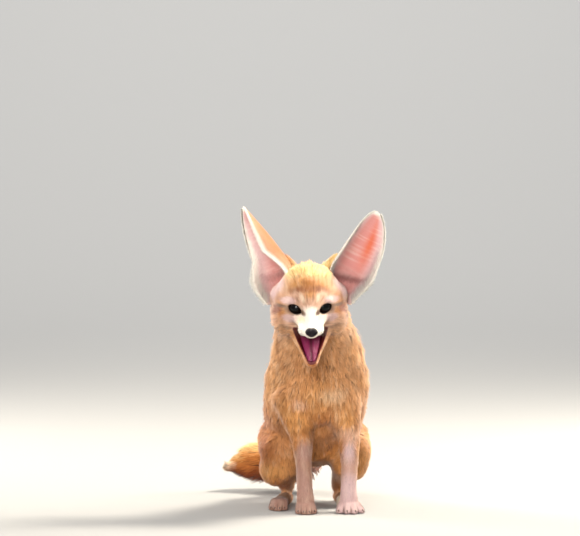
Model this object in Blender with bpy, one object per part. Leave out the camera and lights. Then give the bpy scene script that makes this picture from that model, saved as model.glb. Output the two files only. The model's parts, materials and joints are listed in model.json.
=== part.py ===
"""A fennec fox, life size, crouched on its hind feet with its mouth open, facing -Y.

The flesh is built whole from tapered tubes and balls, fused and smoothed, and then parted
into head, jaw, neck, torso, legs and tail by thin cuts. Eyes, nose, tongue and ears are
pieces of their own. The tables hold millimetres, and everything else is in metres.
"""

import math
import random
from collections import namedtuple

import bmesh
import bpy
from mathutils import Matrix, Vector

MM = 0.001
LEFT, RIGHT = 1, -1
UP = Vector((0, 0, 1))
ACROSS = Vector((1, 0, 0))

# Fusing, thinning and parting.
VOXEL = 1.35 * MM
BODY_TRIANGLES = 4600
GAP = 0.3 * MM
SEED = 11

# The head has its own frame, centred in the skull: -Y along the muzzle and Z up from the palate.
HEAD_CENTRE = Vector((-2.6, -50.5, 238.0)) * MM
HEAD_PITCH = math.radians(15)
HEAD_YAW = math.radians(2)
HEAD_ROLL = math.radians(-1.5)

# A ring of a tube: its centre, its half width, and how far it reaches on either side across that.
Ring = namedtuple("Ring", "x y z side over under")

# The trunk runs from the top of the neck to the root of the tail; over is the back.
TRUNK = [
    Ring(-1, -22, 232, 40, 30, 32),
    Ring(3, -6, 210, 47, 36, 38),
    Ring(6, 10, 182, 53, 42, 43),
    Ring(7, 23, 152, 60, 47, 47),
    Ring(4, 43, 120, 60, 48, 52),
    Ring(1, 68, 96, 56, 46, 55),
    Ring(-5, 93, 78, 49, 42, 43),
    Ring(-10, 114, 67, 36, 34, 31),
]
BREAST_CENTRE = Vector((8, -4, 142)) * MM
BREAST_RADII = Vector((40, 25, 42)) * MM

# The skull from the nose to the nape, in the head's frame; over is up.
SKULL = [
    Ring(0, -55.0, -9.5, 9.0, 7.0, 7.5),
    Ring(0, -46, -8.0, 12.0, 10.0, 9.5),
    Ring(0, -36, -5.0, 15.0, 14.0, 11.5),
    Ring(0, -27, -1.5, 20.0, 18.0, 14.0),
    Ring(0, -18, 1.5, 28.0, 25.0, 18.0),
    Ring(0, -6, 4.0, 37.0, 36.0, 26.0),
    Ring(0, 9, 5.0, 41.0, 45.0, 32.0),
    Ring(0, 22, 5.0, 39.0, 45.0, 32.0),
    Ring(0, 34, 5.0, 31.0, 33.0, 26.0),
]
CHEEK_CENTRE = Vector((24.0, 7.0, -9.0)) * MM
CHEEK_RADII = Vector((21.0, 26.0, 25.0)) * MM
EAR_ROOT_CENTRE = Vector((31.0, 19.0, 8.0)) * MM
EAR_ROOT_RADII = Vector((23.0, 15.0, 24.0)) * MM
BROW_CENTRE = Vector((16.0, -16.0, 15.0)) * MM
BROW_RADII = Vector((12.0, 9.0, 8.0)) * MM
# The furry foot of each ear rises from the crown along the ear's inner edge, in the body's frame.
EAR_FOOT = {LEFT: (Vector((14, -26, 278)) * MM, Vector((28, -28, 298)) * MM),
            RIGHT: (Vector((-21, -26, 278)) * MM, Vector((-36, -25, 299)) * MM)}
EAR_FOOT_RADII = (11 * MM, 6.5 * MM)
WHISKER_PAD_CENTRE = Vector((7.5, -42.0, -10.0)) * MM
WHISKER_PAD_RADII = Vector((8.0, 11.0, 7.0)) * MM

# The lower jaw hangs open; from the chin to the throat, over being its inner face.
JAW = [
    Ring(0, -51.5, -49.0, 7.0, 4.0, 5.5),
    Ring(0, -43, -42.0, 11.0, 5.5, 7.0),
    Ring(0, -30, -32.0, 18.0, 8.0, 9.5),
    Ring(0, -16, -22.5, 25.0, 11.0, 13.0),
    Ring(0, 2, -12.0, 29.0, 13.0, 17.0),
]
# The mouth from the side, as (ahead, up) in the head's frame: the corner, the upper lip, the lower lip.
MOUTH_SIDE = [
    (-11.5, -15.8), (-30, -14.6), (-46, -14.4), (-80, -15.0),
    (-80, -66.0), (-53, -46.0), (-43, -38.5), (-30, -29.0), (-17, -20.2),
]
MOUTH_HALF_WIDTH = 19 * MM
MOUTH_FLARE = 0.55
MOUTH_ROOF = [Ring(0, -4, -17, 13, 3.0, 3.0), Ring(0, -24, -15, 15, 5.5, 3), Ring(0, -50, -15.5, 6, 3.0, 2)]
MOUTH_BED = [
    Ring(0, 0, -18.5, 13, 3.0, 4.5),
    Ring(0, -16, -23, 19, 6.0, 6.0),
    Ring(0, -30, -31.5, 14.5, 6.0, 5.0),
    Ring(0, -43, -41.0, 8.5, 5.0, 4.0),
    Ring(0, -50, -46.5, 4.5, 3.0, 2.5),
]
TONGUE = [
    Ring(0, -3, -20.5, 9.5, 2.5, 3.5),
    Ring(0, -16, -24.5, 12.5, 3.0, 5.0),
    Ring(0, -30, -32.0, 10.0, 2.8, 4.5),
    Ring(0, -42, -40.8, 6.8, 2.4, 3.6),
    Ring(0, -47, -44.6, 4.4, 1.8, 2.6),
]
# The jaw is everything ahead of its hinge line and below the open mouth, as (ahead, up).
JAW_SIDE = [(-11.4, -18.0), (-80, -24.0), (-80, -90), (-11.4, -90)]

JAW_HALF_WIDTH = 27 * MM

EYE_PLACE = Vector((14.7, -15.0, 8.0)) * MM
EYE_RADIUS = 9.8 * MM
EYE_GAZE = Vector((0.27, -0.955, 0.1))
LID_HALF_LENGTH = 8.6 * MM
LID_HALF_HEIGHT = 6.3 * MM
LID_TILT = math.radians(19)
NOSE_CENTRE = Vector((0, -58.5, -7.6)) * MM
NOSE_RADII = Vector((7.2, 5.4, 5.4)) * MM
NOSTRIL_CENTRE = Vector((3.1, -63.6, -7.0)) * MM
NOSTRIL_RADII = Vector((1.9, 2.2, 1.4)) * MM

# Where the head meets the neck: a point of the cut and the way out of the neck.
NECK_CUT_POINT = Vector((0, -19, 222)) * MM
NECK_CUT_WAY = Vector((0, -0.72, 0.69))
TORSO_CUT_POINT = Vector((5, 4, 190)) * MM
TORSO_CUT_WAY = Vector((0, -0.45, 0.89))

# Each ear: its root, its tip, how far it is turned outwards at the root and above, and its size.
Ear = namedtuple("Ear", "root tip turn_root turn_tip bow half_width depth")
EARS = {
    LEFT: Ear(Vector((35, -39, 260)) * MM, Vector((76, -24, 348)) * MM,
              math.radians(8), math.radians(20), 5 * MM, 26 * MM, 32 * MM),
    RIGHT: Ear(Vector((-41, -36, 260)) * MM, Vector((-79, -16, 353)) * MM,
               math.radians(26), math.radians(71), 6 * MM, 28 * MM, 39 * MM),
}
EAR_TURNED_BY = 0.4
EAR_WALL_ROOT = 3.0 * MM
EAR_WALL_RIM = 1.5 * MM
EAR_RINGS = 12
EAR_COLUMNS = 9
EAR_SUNK = 0.20

# The forelegs, from the shoulder down to the wrist; over is behind.
FORELEG = {
    RIGHT: [
        Ring(-21, 2, 134, 27, 25, 27),
        Ring(-16, -6, 106, 18, 18, 19),
        Ring(-11, -11, 82, 12.5, 13.5, 14),
        Ring(-9, -17, 55, 10, 11, 11.5),
        Ring(-8, -24, 28, 9.8, 10.8, 10.8),
        Ring(-7, -30, 14, 11.2, 9, 10),
    ],
    LEFT: [
        Ring(33, 8, 134, 27, 25, 27),
        Ring(40, -1, 106, 18, 18, 19),
        Ring(43.5, -6, 82, 13, 13.5, 14),
        Ring(44, -12, 55, 10.5, 11, 11.5),
        Ring(43, -19, 28, 9.8, 10.8, 10.8),
        Ring(43, -25, 14, 11.2, 9, 10),
    ],
}
THIGH = {
    RIGHT: [Ring(-25, 98, 82, 29, 28, 30), Ring(-32, 68, 74, 31, 36, 34), Ring(-35, 38, 62, 25, 31, 29)],
    LEFT: [Ring(17, 98, 84, 28, 26, 28), Ring(38, 72, 74, 31, 36, 34), Ring(44, 42, 62, 26, 31, 29)],
}
SHIN = {
    RIGHT: [Ring(-34, 34, 50, 20, 21, 20), Ring(-32, 60, 34, 15, 15, 14), Ring(-28, 84, 18, 9, 9, 10)],
    LEFT: [Ring(43, 38, 50, 20, 21, 20), Ring(38, 62, 34, 15, 15, 14), Ring(32, 86, 18, 9, 9, 10)],
}
HAUNCH_RADII = Vector((20, 26, 24)) * MM
HAUNCH_CENTRE = {RIGHT: Vector((-41, 46, 46)) * MM, LEFT: Vector((47, 50, 52)) * MM}
# Each paw: where the toes end, where the foot starts, its half width, and how far the toes spread.
Paw = namedtuple("Paw", "toe root half_width spread")
FOREPAW = {
    RIGHT: Paw(Vector((-6, -54, 0)) * MM, Vector((-7, -27, 0)) * MM, 10.5 * MM, 1.0),
    LEFT: Paw(Vector((46, -49, 0)) * MM, Vector((43, -22, 0)) * MM, 11.0 * MM, 1.4),
}
HINDPAW = {
    RIGHT: Paw(Vector((-40, -18, 0)) * MM, Vector((-29, 76, 0)) * MM, 9.5 * MM, 0.95),
    LEFT: Paw(Vector((42, 4, 0)) * MM, Vector((33, 92, 0)) * MM, 9.5 * MM, 0.95),
}
TOE_RADIUS = 4.8 * MM
TOE_LENGTH = 17 * MM
TOE_OFFSETS = (-0.86, -0.3, 0.3, 0.86)
TOE_SETBACKS = (6.5 * MM, 0.5 * MM, 0.5 * MM, 6.5 * MM)
PALM_HEIGHT = 8.0 * MM
FOOT_RADIUS = 8.5 * MM
FLAT_SINK = 1.8 * MM

# Where the legs are parted off, as (y, z) outlines seen from the side, and the inner face of each.
HIND_SIDE = {
    RIGHT: [(-24, -5), (-24, 26), (12, 26), (22, 62), (62, 108), (140, 108), (140, -5)],
    LEFT: [(-4, -5), (-4, 26), (14, 26), (24, 62), (64, 108), (140, 108), (140, -5)],
}
HIND_INNER = {RIGHT: 19.5, LEFT: 22}
FORE_SIDE = [(-90, -5), (-90, 108), (-24, 104), (10, 82), (10, -5)]
FORE_INNER = {RIGHT: -8, LEFT: 20}
FAR_OUT = 120

# The tail leaves the rump and sweeps back and round to the right.
TAIL_CENTRES = [
    (-10, 116, 66), (-9, 138, 55), (-12, 160, 47), (-22, 179, 42), (-39, 192, 39),
    (-59, 197, 36.5), (-79, 196, 33), (-96, 191, 30.5), (-107, 186, 29.5),
]
TAIL_RADII = (14, 17, 20, 22.5, 23.5, 23, 17.5, 10.5, 4.5)
TAIL_CUT_POINT = Vector((-11, 124, 62)) * MM
TAIL_CUT_WAY = Vector((-0.12, 0.88, -0.46))
TAIL_SPLIT_POINT = Vector((-22, 179, 42)) * MM
TAIL_SPLIT_WAY = Vector((-0.63, 0.75, -0.19))

# A lock is flat, tapered and bent: its root is sunk in the flesh and its tip lies in the coat's outer face.
Lock = namedtuple("Lock", "length width thickness sunk")
LOCK_SHARES = (0.0, 0.38, 0.74, 1.0)
LOCK_WIDTHS = (0.7, 1.0, 0.72)
LOCK_THINNING = 0.45
TAIL_LOCK = Lock(36 * MM, 18 * MM, 4.2 * MM, 3.5 * MM)
TAIL_CORE = 0.55
TAIL_FLESH_ENDS = 5.5
TAIL_SLIM_BY = 1.5
TAIL_TIERS = (0.5, 1.15, 1.85, 2.55, 3.25, 3.95, 4.65, 5.3, 6.0)
TAIL_LOCKS_ROUND = (5, 6, 6, 6, 6, 6, 5, 4, 3)
RUFF_LOCK = Lock(27 * MM, 22 * MM, 4.5 * MM, 3.5 * MM)
RUFF_TIERS = (0.16, 0.5, 0.82)
RUFF_LOCKS_ROUND = 12
RUFF_DEPTH = 7 * MM
CHEEK_LOCK = Lock(17 * MM, 10 * MM, 3.2 * MM, 3 * MM)
CHEEK_TIERS = (5 * MM, 17 * MM)
CHEEK_TURNS = (35, 12, -11, -34, -57)
CHEEK_DEPTH = 3 * MM
CHEEK_MIDDLE = Vector((36, 16, -12)) * MM
CHEEK_REACH = 26 * MM
CHEEK_LIE = Vector((0.25, 0.85, -0.5))

# Material name, colour and roughness, by the first word of an object's name.
PALE = ("coat_pale", (0.86, 0.74, 0.62), 0.85)
FINISHES = {
    "head": ("coat_head", (0.8, 0.62, 0.42), 0.85),
    "jaw": PALE,
    "foreleg": PALE,
    "neck": ("coat_body", (0.78, 0.53, 0.3), 0.85),
    "torso": ("coat_body", (0.78, 0.53, 0.3), 0.85),
    "hindleg": ("coat_body", (0.78, 0.53, 0.3), 0.85),
    "tail": ("coat_tail", (0.76, 0.44, 0.2), 0.85),
    "ear": ("coat_ear", (0.86, 0.68, 0.55), 0.8),
    "nose": ("nose_skin", (0.03, 0.025, 0.03), 0.35),
    "eye": ("eye", (0.02, 0.012, 0.01), 0.08),
    "tongue": ("tongue_skin", (0.6, 0.2, 0.32), 0.4),
}


def metres(rings):
    return [Ring(*(value * MM for value in ring)) for ring in rings]


def mirrored(vector, hand):
    return Vector((vector.x * hand, vector.y, vector.z))


def head_place():
    turn = Matrix.Rotation(HEAD_YAW, 4, "Z") @ Matrix.Rotation(HEAD_PITCH, 4, "X")
    return Matrix.Translation(HEAD_CENTRE) @ turn @ Matrix.Rotation(HEAD_ROLL, 4, "Y")


# Shapes

def frames_along(centres, side_hint):
    """The direction, side and over vectors at each centre of a tube."""
    frames = []
    last = len(centres) - 1
    for i in range(len(centres)):
        along = (centres[min(i + 1, last)] - centres[max(i - 1, 0)]).normalized()
        side = (side_hint - side_hint.dot(along) * along).normalized()
        frames.append((along, side, side.cross(along)))
    return frames


def section(ring, frame, sides, shift, scale):
    """The points round one ring, moved along the tube and scaled."""
    along, side, over = frame
    points = []
    for k in range(sides):
        turn = 2 * math.pi * k / sides
        rise = ring.over if math.sin(turn) > 0 else ring.under
        offset = side * math.cos(turn) * ring.side + over * math.sin(turn) * rise
        points.append(Vector(ring[:3]) + along * shift + offset * scale)
    return points


def skin_over(bm, sections):
    """A closed surface through sections of as many points each."""
    loops = [[bm.verts.new(point) for point in points] for points in sections]
    faces = []
    for first, second in zip(loops, loops[1:]):
        for k in range(len(first)):
            after = (k + 1) % len(first)
            faces.append(bm.faces.new((first[k], first[after], second[after], second[k])))
    faces.append(bm.faces.new(list(reversed(loops[0]))))
    faces.append(bm.faces.new(loops[-1]))
    bmesh.ops.recalc_face_normals(bm, faces=faces)


def tube(bm, rings, sides=24, dome=0.8, side_hint=ACROSS):
    """A closed tube through the rings, with a dome at each end."""
    frames = frames_along([Vector(ring[:3]) for ring in rings], side_hint)
    turns = [math.radians(degrees) for degrees in (75, 50, 25)]
    start, end = rings[0], rings[-1]
    start_reach = dome * min(start.side, (start.over + start.under) / 2)
    end_reach = dome * min(end.side, (end.over + end.under) / 2)
    sections = []
    for turn in turns:
        sections.append(section(start, frames[0], sides, -start_reach * math.sin(turn), math.cos(turn)))
    for ring, frame in zip(rings, frames):
        sections.append(section(ring, frame, sides, 0, 1))
    for turn in reversed(turns):
        sections.append(section(end, frames[-1], sides, end_reach * math.sin(turn), math.cos(turn)))
    skin_over(bm, sections)


def ball(bm, centre, radii, turn=None, detail=3):
    place = Matrix.Translation(centre) @ (turn or Matrix.Identity(4))
    place = place @ Matrix.Diagonal((*radii, 1.0))
    bmesh.ops.create_icosphere(bm, subdivisions=detail, radius=1.0, matrix=place)


def limb(bm, start, end, start_radius, end_radius, sides=16):
    """A round limb between two points, with round ends."""
    rings = [Ring(*start, *[start_radius] * 3), Ring(*end, *[end_radius] * 3)]
    tube(bm, rings, sides=sides, dome=1.0, side_hint=ACROSS if abs((end - start).normalized().x) < 0.8 else UP)


def prism(bm, outline, low_at, high_at):
    """A flat outline of (y, z) points made thick across X, from low_at(y) to high_at(y)."""
    left = [bm.verts.new((high_at(y), y, z)) for y, z in outline]
    right = [bm.verts.new((low_at(y), y, z)) for y, z in outline]
    faces = [bm.faces.new(left), bm.faces.new(list(reversed(right)))]
    for k in range(len(left)):
        after = (k + 1) % len(left)
        faces.append(bm.faces.new((left[after], left[k], right[k], right[after])))
    bmesh.ops.triangulate(bm, faces=faces)
    bmesh.ops.recalc_face_normals(bm, faces=bm.faces)


def box(bm, low, high):
    place = Matrix.Translation((low + high) / 2) @ Matrix.Diagonal((*(high - low), 1.0))
    bmesh.ops.create_cube(bm, size=1.0, matrix=place)


# Objects and what is done to them

def object_of(bm, name, place=None):
    mesh = bpy.data.meshes.new(name)
    if place is not None:
        bmesh.ops.transform(bm, matrix=place, verts=bm.verts)
    bm.to_mesh(mesh)
    bm.free()
    obj = bpy.data.objects.new(name, mesh)
    bpy.context.scene.collection.objects.link(obj)
    return obj


def copy_of(obj, name):
    twin = bpy.data.objects.new(name, obj.data.copy())
    bpy.context.scene.collection.objects.link(twin)
    return twin


def discard(*objects):
    for obj in objects:
        bpy.data.objects.remove(obj, do_unlink=True)


def apply_modifiers(obj):
    graph = bpy.context.evaluated_depsgraph_get()
    old = obj.data
    obj.data = bpy.data.meshes.new_from_object(obj.evaluated_get(graph))
    obj.modifiers.clear()
    bpy.data.meshes.remove(old)


def fuse(obj):
    """Turns overlapping closed shapes into one skin."""
    remesh = obj.modifiers.new("Fuse", "REMESH")
    remesh.mode = "VOXEL"
    remesh.voxel_size = VOXEL
    apply_modifiers(obj)


def thin_out(obj, triangles):
    obj.data.calc_loop_triangles()
    decimate = obj.modifiers.new("Thin out", "DECIMATE")
    decimate.ratio = triangles / len(obj.data.loop_triangles)
    decimate.use_collapse_triangulate = True
    apply_modifiers(obj)


def relax(obj, rounds_at):
    """Smooths each vertex as many times as rounds_at says for its place."""
    bm = bmesh.new()
    bm.from_mesh(obj.data)
    rounds = {vert: rounds_at(vert.co) for vert in bm.verts}
    for done in range(max(rounds.values())):
        verts = [vert for vert in bm.verts if rounds[vert] > done]
        bmesh.ops.smooth_vert(bm, verts=verts, factor=0.5, use_axis_x=True, use_axis_y=True, use_axis_z=True)
    bm.to_mesh(obj.data)
    bm.free()


def boolean(obj, other, operation, solver="EXACT"):
    """Applies one Boolean and removes the other object."""
    modifier = obj.modifiers.new(operation.title(), "BOOLEAN")
    modifier.operation = operation
    modifier.solver = solver
    modifier.object = other
    apply_modifiers(obj)
    discard(other)


def push_out(obj, distance_at):
    """Moves each vertex along its normal by the distance for its place."""
    normals = [vert.normal.copy() for vert in obj.data.vertices]
    for vert, normal in zip(obj.data.vertices, normals):
        vert.co += normal * distance_at(vert.co)


def grown(obj, distance):
    """A copy moved outwards along its normals."""
    twin = copy_of(obj, obj.name + "_grown")
    push_out(twin, lambda point: distance)
    return twin


def keep_largest(obj):
    """Drops every loose scrap that a cut has left."""
    bm = bmesh.new()
    bm.from_mesh(obj.data)
    shells = []
    left = set(bm.verts)
    while left:
        shell, front = set(), [left.pop()]
        while front:
            vert = front.pop()
            shell.add(vert)
            near = {edge.other_vert(vert) for edge in vert.link_edges} & left
            left -= near
            front.extend(near)
        shells.append(shell)
    shells.sort(key=len)
    for shell in shells[:-1]:
        bmesh.ops.delete(bm, geom=list(shell), context="VERTS")
    bm.to_mesh(obj.data)
    bm.free()


def half_space(point, way, shift=0.0):
    """A large block on the far side of a plane."""
    size = 0.6
    bm = bmesh.new()
    place = way.to_track_quat("Z", "Y").to_matrix().to_4x4()
    place = Matrix.Translation(point + way.normalized() * shift) @ place
    box(bm, Vector((-size, -size, 0)), Vector((size, size, size)))
    return object_of(bm, "half_space", place)


def part_off(obj, name, cutter_at):
    """Cuts a piece off the flesh: cutter_at(grow) makes the cutter, grown by that much.

    EXACT loses the whole where the thinned flesh grazes itself, so these cuts use MANIFOLD.
    """
    piece = copy_of(obj, name)
    boolean(piece, cutter_at(0.0), "INTERSECT", "MANIFOLD")
    boolean(obj, cutter_at(GAP), "DIFFERENCE", "MANIFOLD")
    keep_largest(piece)
    keep_largest(obj)
    return piece


# The body

def add_trunk(bm):
    tube(bm, metres(TRUNK), sides=32)
    ball(bm, BREAST_CENTRE, BREAST_RADII)


def add_head(bm):
    head = bmesh.new()
    tube(head, metres(SKULL), sides=32, dome=0.55)
    tube(head, metres(JAW), sides=24, dome=0.7)
    for hand in (LEFT, RIGHT):
        ball(head, mirrored(CHEEK_CENTRE, hand), CHEEK_RADII)
        ball(head, mirrored(BROW_CENTRE, hand), BROW_RADII)
        ball(head, mirrored(EAR_ROOT_CENTRE, hand), EAR_ROOT_RADII)
        ball(head, mirrored(WHISKER_PAD_CENTRE, hand), WHISKER_PAD_RADII)
    bmesh.ops.transform(head, matrix=head_place(), verts=head.verts)
    mesh = bpy.data.meshes.new("head_forms")
    head.to_mesh(mesh)
    head.free()
    bm.from_mesh(mesh)
    bpy.data.meshes.remove(mesh)
    for low, high in EAR_FOOT.values():
        limb(bm, low, high, *EAR_FOOT_RADII)


def add_paw(bm, paw, palm_length):
    """The palm and the four toes."""
    ahead = (paw.toe - paw.root).normalized()
    aside = ahead.cross(UP)
    for offset, setback in zip(TOE_OFFSETS, TOE_SETBACKS):
        lean = aside * offset * paw.half_width
        tip = paw.toe - ahead * (setback + TOE_RADIUS) + lean * paw.spread
        knuckle = paw.toe - ahead * (setback + TOE_LENGTH) + lean * (0.3 + 0.45 * paw.spread)
        tip.z = TOE_RADIUS - FLAT_SINK
        knuckle.z = TOE_RADIUS * 1.9
        limb(bm, tip, knuckle, TOE_RADIUS, TOE_RADIUS * 1.15, sides=12)
    palm = paw.toe - ahead * (TOE_LENGTH + palm_length / 2)
    palm.z = PALM_HEIGHT - FLAT_SINK
    turn = Matrix.Rotation(math.atan2(ahead.x, -ahead.y), 4, "Z")
    ball(bm, palm, (paw.half_width * 1.02, palm_length * 0.8, PALM_HEIGHT), turn)


def add_hind_foot(bm, paw):
    """The long sole from the heel to the palm."""
    add_paw(bm, paw, 20 * MM)
    heel = paw.root + UP * (FOOT_RADIUS - FLAT_SINK)
    palm = paw.toe.lerp(paw.root, 0.3) + UP * (FOOT_RADIUS - FLAT_SINK)
    limb(bm, heel, palm, FOOT_RADIUS, FOOT_RADIUS)


def add_legs(bm):
    for hand in (LEFT, RIGHT):
        tube(bm, metres(FORELEG[hand]), sides=20, dome=0.6)
        add_paw(bm, FOREPAW[hand], 15 * MM)
        tube(bm, metres(THIGH[hand]), sides=24, dome=0.9)
        tube(bm, metres(SHIN[hand]), sides=20)
        ball(bm, HAUNCH_CENTRE[hand], HAUNCH_RADII)
        add_hind_foot(bm, HINDPAW[hand])


def smoothing_at(point):
    """Few rounds on the paws and the face, many where the coat runs smoothly."""
    if point.z < 20 * MM:
        return 4
    if point.z < 42 * MM:
        return 10
    if point.y < -80 * MM and point.z > 150 * MM:
        return 4
    if point.y < -50 * MM and point.z > 150 * MM:
        return 14
    return 36


def ramp(value, low, high):
    """0 below low, 1 above high, and smooth between."""
    share = min(1.0, max(0.0, (value - low) / (high - low)))
    return share * share * (3 - 2 * share)


def sink_at(point):
    """How deep the flesh lies under the coat's outer face where locks stand."""
    past_head = (point - NECK_CUT_POINT).dot(-NECK_CUT_WAY.normalized())
    short_of_torso = (point - TORSO_CUT_POINT).dot(TORSO_CUT_WAY.normalized())
    ruff = ramp(past_head, -3 * MM, 5 * MM) * ramp(short_of_torso, -16 * MM, 2 * MM)
    local = head_place().inverted() @ point
    local.x = abs(local.x)
    cheek = 1 - ramp((local - CHEEK_MIDDLE).length, 0.5 * CHEEK_REACH, CHEEK_REACH)
    return max(RUFF_DEPTH * ruff, CHEEK_DEPTH * cheek)


def tail_core(place):
    """The flesh's share of the tail's outer radius, at a place counted in rings."""
    return 1 - (1 - TAIL_CORE) * min(1.0, place / TAIL_SLIM_BY)


def tail_rings():
    """The tail's flesh: full at the rump, then slim under the locks."""
    rings = []
    for i, (centre, radius) in enumerate(zip(TAIL_CENTRES, TAIL_RADII)):
        slim = radius * tail_core(i)
        rings.append(Ring(*centre, slim, slim, slim))
    return rings[:math.ceil(TAIL_FLESH_ENDS) + 1]


def whole_body():
    bm = bmesh.new()
    add_trunk(bm)
    add_head(bm)
    add_legs(bm)
    tube(bm, metres(tail_rings()), sides=20, side_hint=UP)
    body = object_of(bm, "torso")
    fuse(body)
    relax(body, smoothing_at)
    boolean(body, mouth_cutter(), "DIFFERENCE")
    fuse(body)
    relax(body, lambda point: 2)
    coat = copy_of(body, "coat_face")
    coat.hide_render = True
    push_out(body, lambda point: -sink_at(point))
    thin_out(body, BODY_TRIANGLES)
    boolean(body, half_space(Vector((0, 0, 0)), -UP), "DIFFERENCE", "MANIFOLD")
    return body, coat


# The mouth, eyes, nose and ears

def scaled(outline):
    return [(y * MM, z * MM) for y, z in outline]


def mouth_cutter():
    """The open wedge between the lips, the palate's arch and the bed of the tongue."""
    bm = bmesh.new()
    corner = MOUTH_SIDE[0][0] * MM
    half_width_at = lambda y: MOUTH_HALF_WIDTH + MOUTH_FLARE * (corner - y)
    prism(bm, scaled(MOUTH_SIDE), lambda y: -half_width_at(y), half_width_at)
    wedge = object_of(bm, "mouth", head_place())
    for rings in (MOUTH_ROOF, MOUTH_BED):
        bm = bmesh.new()
        tube(bm, metres(rings), sides=16)
        boolean(wedge, object_of(bm, "hollow", head_place()), "UNION")
    return wedge


def jaw_cutter(grow):
    (back, top), (ahead, front_top), *_ = scaled(JAW_SIDE)
    bottom = JAW_SIDE[2][1] * MM
    bm = bmesh.new()
    outline = [(back + grow, top + grow), (ahead, front_top + grow), (ahead, bottom), (back + grow, bottom)]
    prism(bm, outline, lambda y: -JAW_HALF_WIDTH - grow, lambda y: JAW_HALF_WIDTH + grow)
    return object_of(bm, "jaw_cutter", head_place())


def eye_place(hand):
    """Where an eyeball sits, looking along its own -Y."""
    gaze = mirrored(EYE_GAZE, hand).normalized()
    turn = (-gaze).to_track_quat("Y", "Z").to_matrix().to_4x4()
    return head_place() @ Matrix.Translation(mirrored(EYE_PLACE, hand)) @ turn


def eye_ball(name, hand, radius, detail):
    bm = bmesh.new()
    bmesh.ops.create_uvsphere(bm, u_segments=detail, v_segments=detail // 2, radius=radius)
    bmesh.ops.recalc_face_normals(bm, faces=bm.faces)
    return object_of(bm, name, eye_place(hand) @ Matrix.Rotation(math.radians(90), 4, "X"))


def lid_opening(hand):
    """An almond, cut forwards from the middle of the eye."""
    bm = bmesh.new()
    steps = 20
    outline = []
    for k in range(steps):
        turn = 2 * math.pi * k / steps
        rise = math.copysign(abs(math.sin(turn)) ** 1.25, math.sin(turn))
        outline.append(Vector((math.cos(turn) * LID_HALF_LENGTH, 0, rise * LID_HALF_HEIGHT)))
    near = [bm.verts.new(point) for point in outline]
    far = [bm.verts.new(point * 1.25 - Vector((0, 3 * EYE_RADIUS, 0))) for point in outline]
    faces = [bm.faces.new(near), bm.faces.new(list(reversed(far)))]
    for k in range(steps):
        after = (k + 1) % steps
        faces.append(bm.faces.new((near[after], near[k], far[k], far[after])))
    bmesh.ops.recalc_face_normals(bm, faces=faces)
    return object_of(bm, "lid_opening", eye_place(hand) @ Matrix.Rotation(-LID_TILT * hand, 4, "Y"))


def set_eye(head, name, hand):
    boolean(head, eye_ball("socket", hand, EYE_RADIUS + GAP, 18), "DIFFERENCE")
    boolean(head, lid_opening(hand), "DIFFERENCE")
    keep_largest(head)
    return eye_ball(name, hand, EYE_RADIUS, 16)


def nose_solid(name, grow):
    bm = bmesh.new()
    ball(bm, NOSE_CENTRE, NOSE_RADII + Vector((grow, grow, grow)), detail=2)
    return object_of(bm, name, head_place())


def set_nose(head):
    nose = nose_solid("nose", 0.0)
    boolean(head, nose_solid("nose_bed", GAP), "DIFFERENCE")
    for hand in (LEFT, RIGHT):
        bm = bmesh.new()
        ball(bm, mirrored(NOSTRIL_CENTRE, hand), NOSTRIL_RADII, detail=1)
        boolean(nose, object_of(bm, "nostril", head_place()), "DIFFERENCE")
    return nose


def set_tongue(jaw, head):
    bm = bmesh.new()
    tube(bm, metres(TONGUE), sides=16)
    tongue = object_of(bm, "tongue", head_place())
    boolean(tongue, grown(jaw, GAP), "DIFFERENCE")
    boolean(tongue, grown(head, GAP), "DIFFERENCE")
    keep_largest(tongue)
    return tongue


def ear_frame(ear, hand, share):
    """The axis point of the ear at a share of its length, its lateral way and its facing way."""
    axis = (ear.tip - ear.root).normalized()
    turned = min(1.0, max(0.0, share / EAR_TURNED_BY))
    turn = ear.turn_root + (ear.turn_tip - ear.turn_root) * turned
    lateral = mirrored(Vector((math.cos(turn), math.sin(turn), 0)), hand)
    lateral = (lateral - lateral.dot(axis) * axis).normalized()
    facing = lateral.cross(axis) * hand
    bow = ACROSS * hand * ear.bow * math.sin(math.pi * max(0.0, share))
    return ear.root.lerp(ear.tip, share) + bow, lateral, facing


def ear_section(ear, share):
    """Half width, cup depth and wall of the ear at a share of its length."""
    narrow = 0.6 + 0.4 * min(1.0, (share + EAR_SUNK) / (2 * EAR_SUNK))
    share = max(share, 0.0)
    half_width = ear.half_width * narrow * (1 - share ** 2.7) ** 0.6
    depth = ear.depth * (1 - share) ** 1.1 * (0.75 + 1.0 * share)
    wall = EAR_WALL_ROOT + (EAR_WALL_RIM - EAR_WALL_ROOT) * min(1.0, 1.4 * share)
    return half_width, min(depth, half_width * 1.1), wall


def ear_point(ear, hand, share, across, inset):
    """A point of the ear's back, or of its inside where inset; across runs from -1 to 1."""
    centre, lateral, facing = ear_frame(ear, hand, share)
    half_width, depth, wall = ear_section(ear, share)
    half_arc = 2 * math.atan2(depth, half_width)
    radius = half_width / math.sin(half_arc)
    turn = across * half_arc
    thick = wall * (1 - 0.55 * across ** 4) if inset else 0.0
    reach = radius - thick
    return centre + lateral * reach * math.sin(turn) - facing * (reach * math.cos(turn) - radius * math.cos(half_arc))


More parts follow.
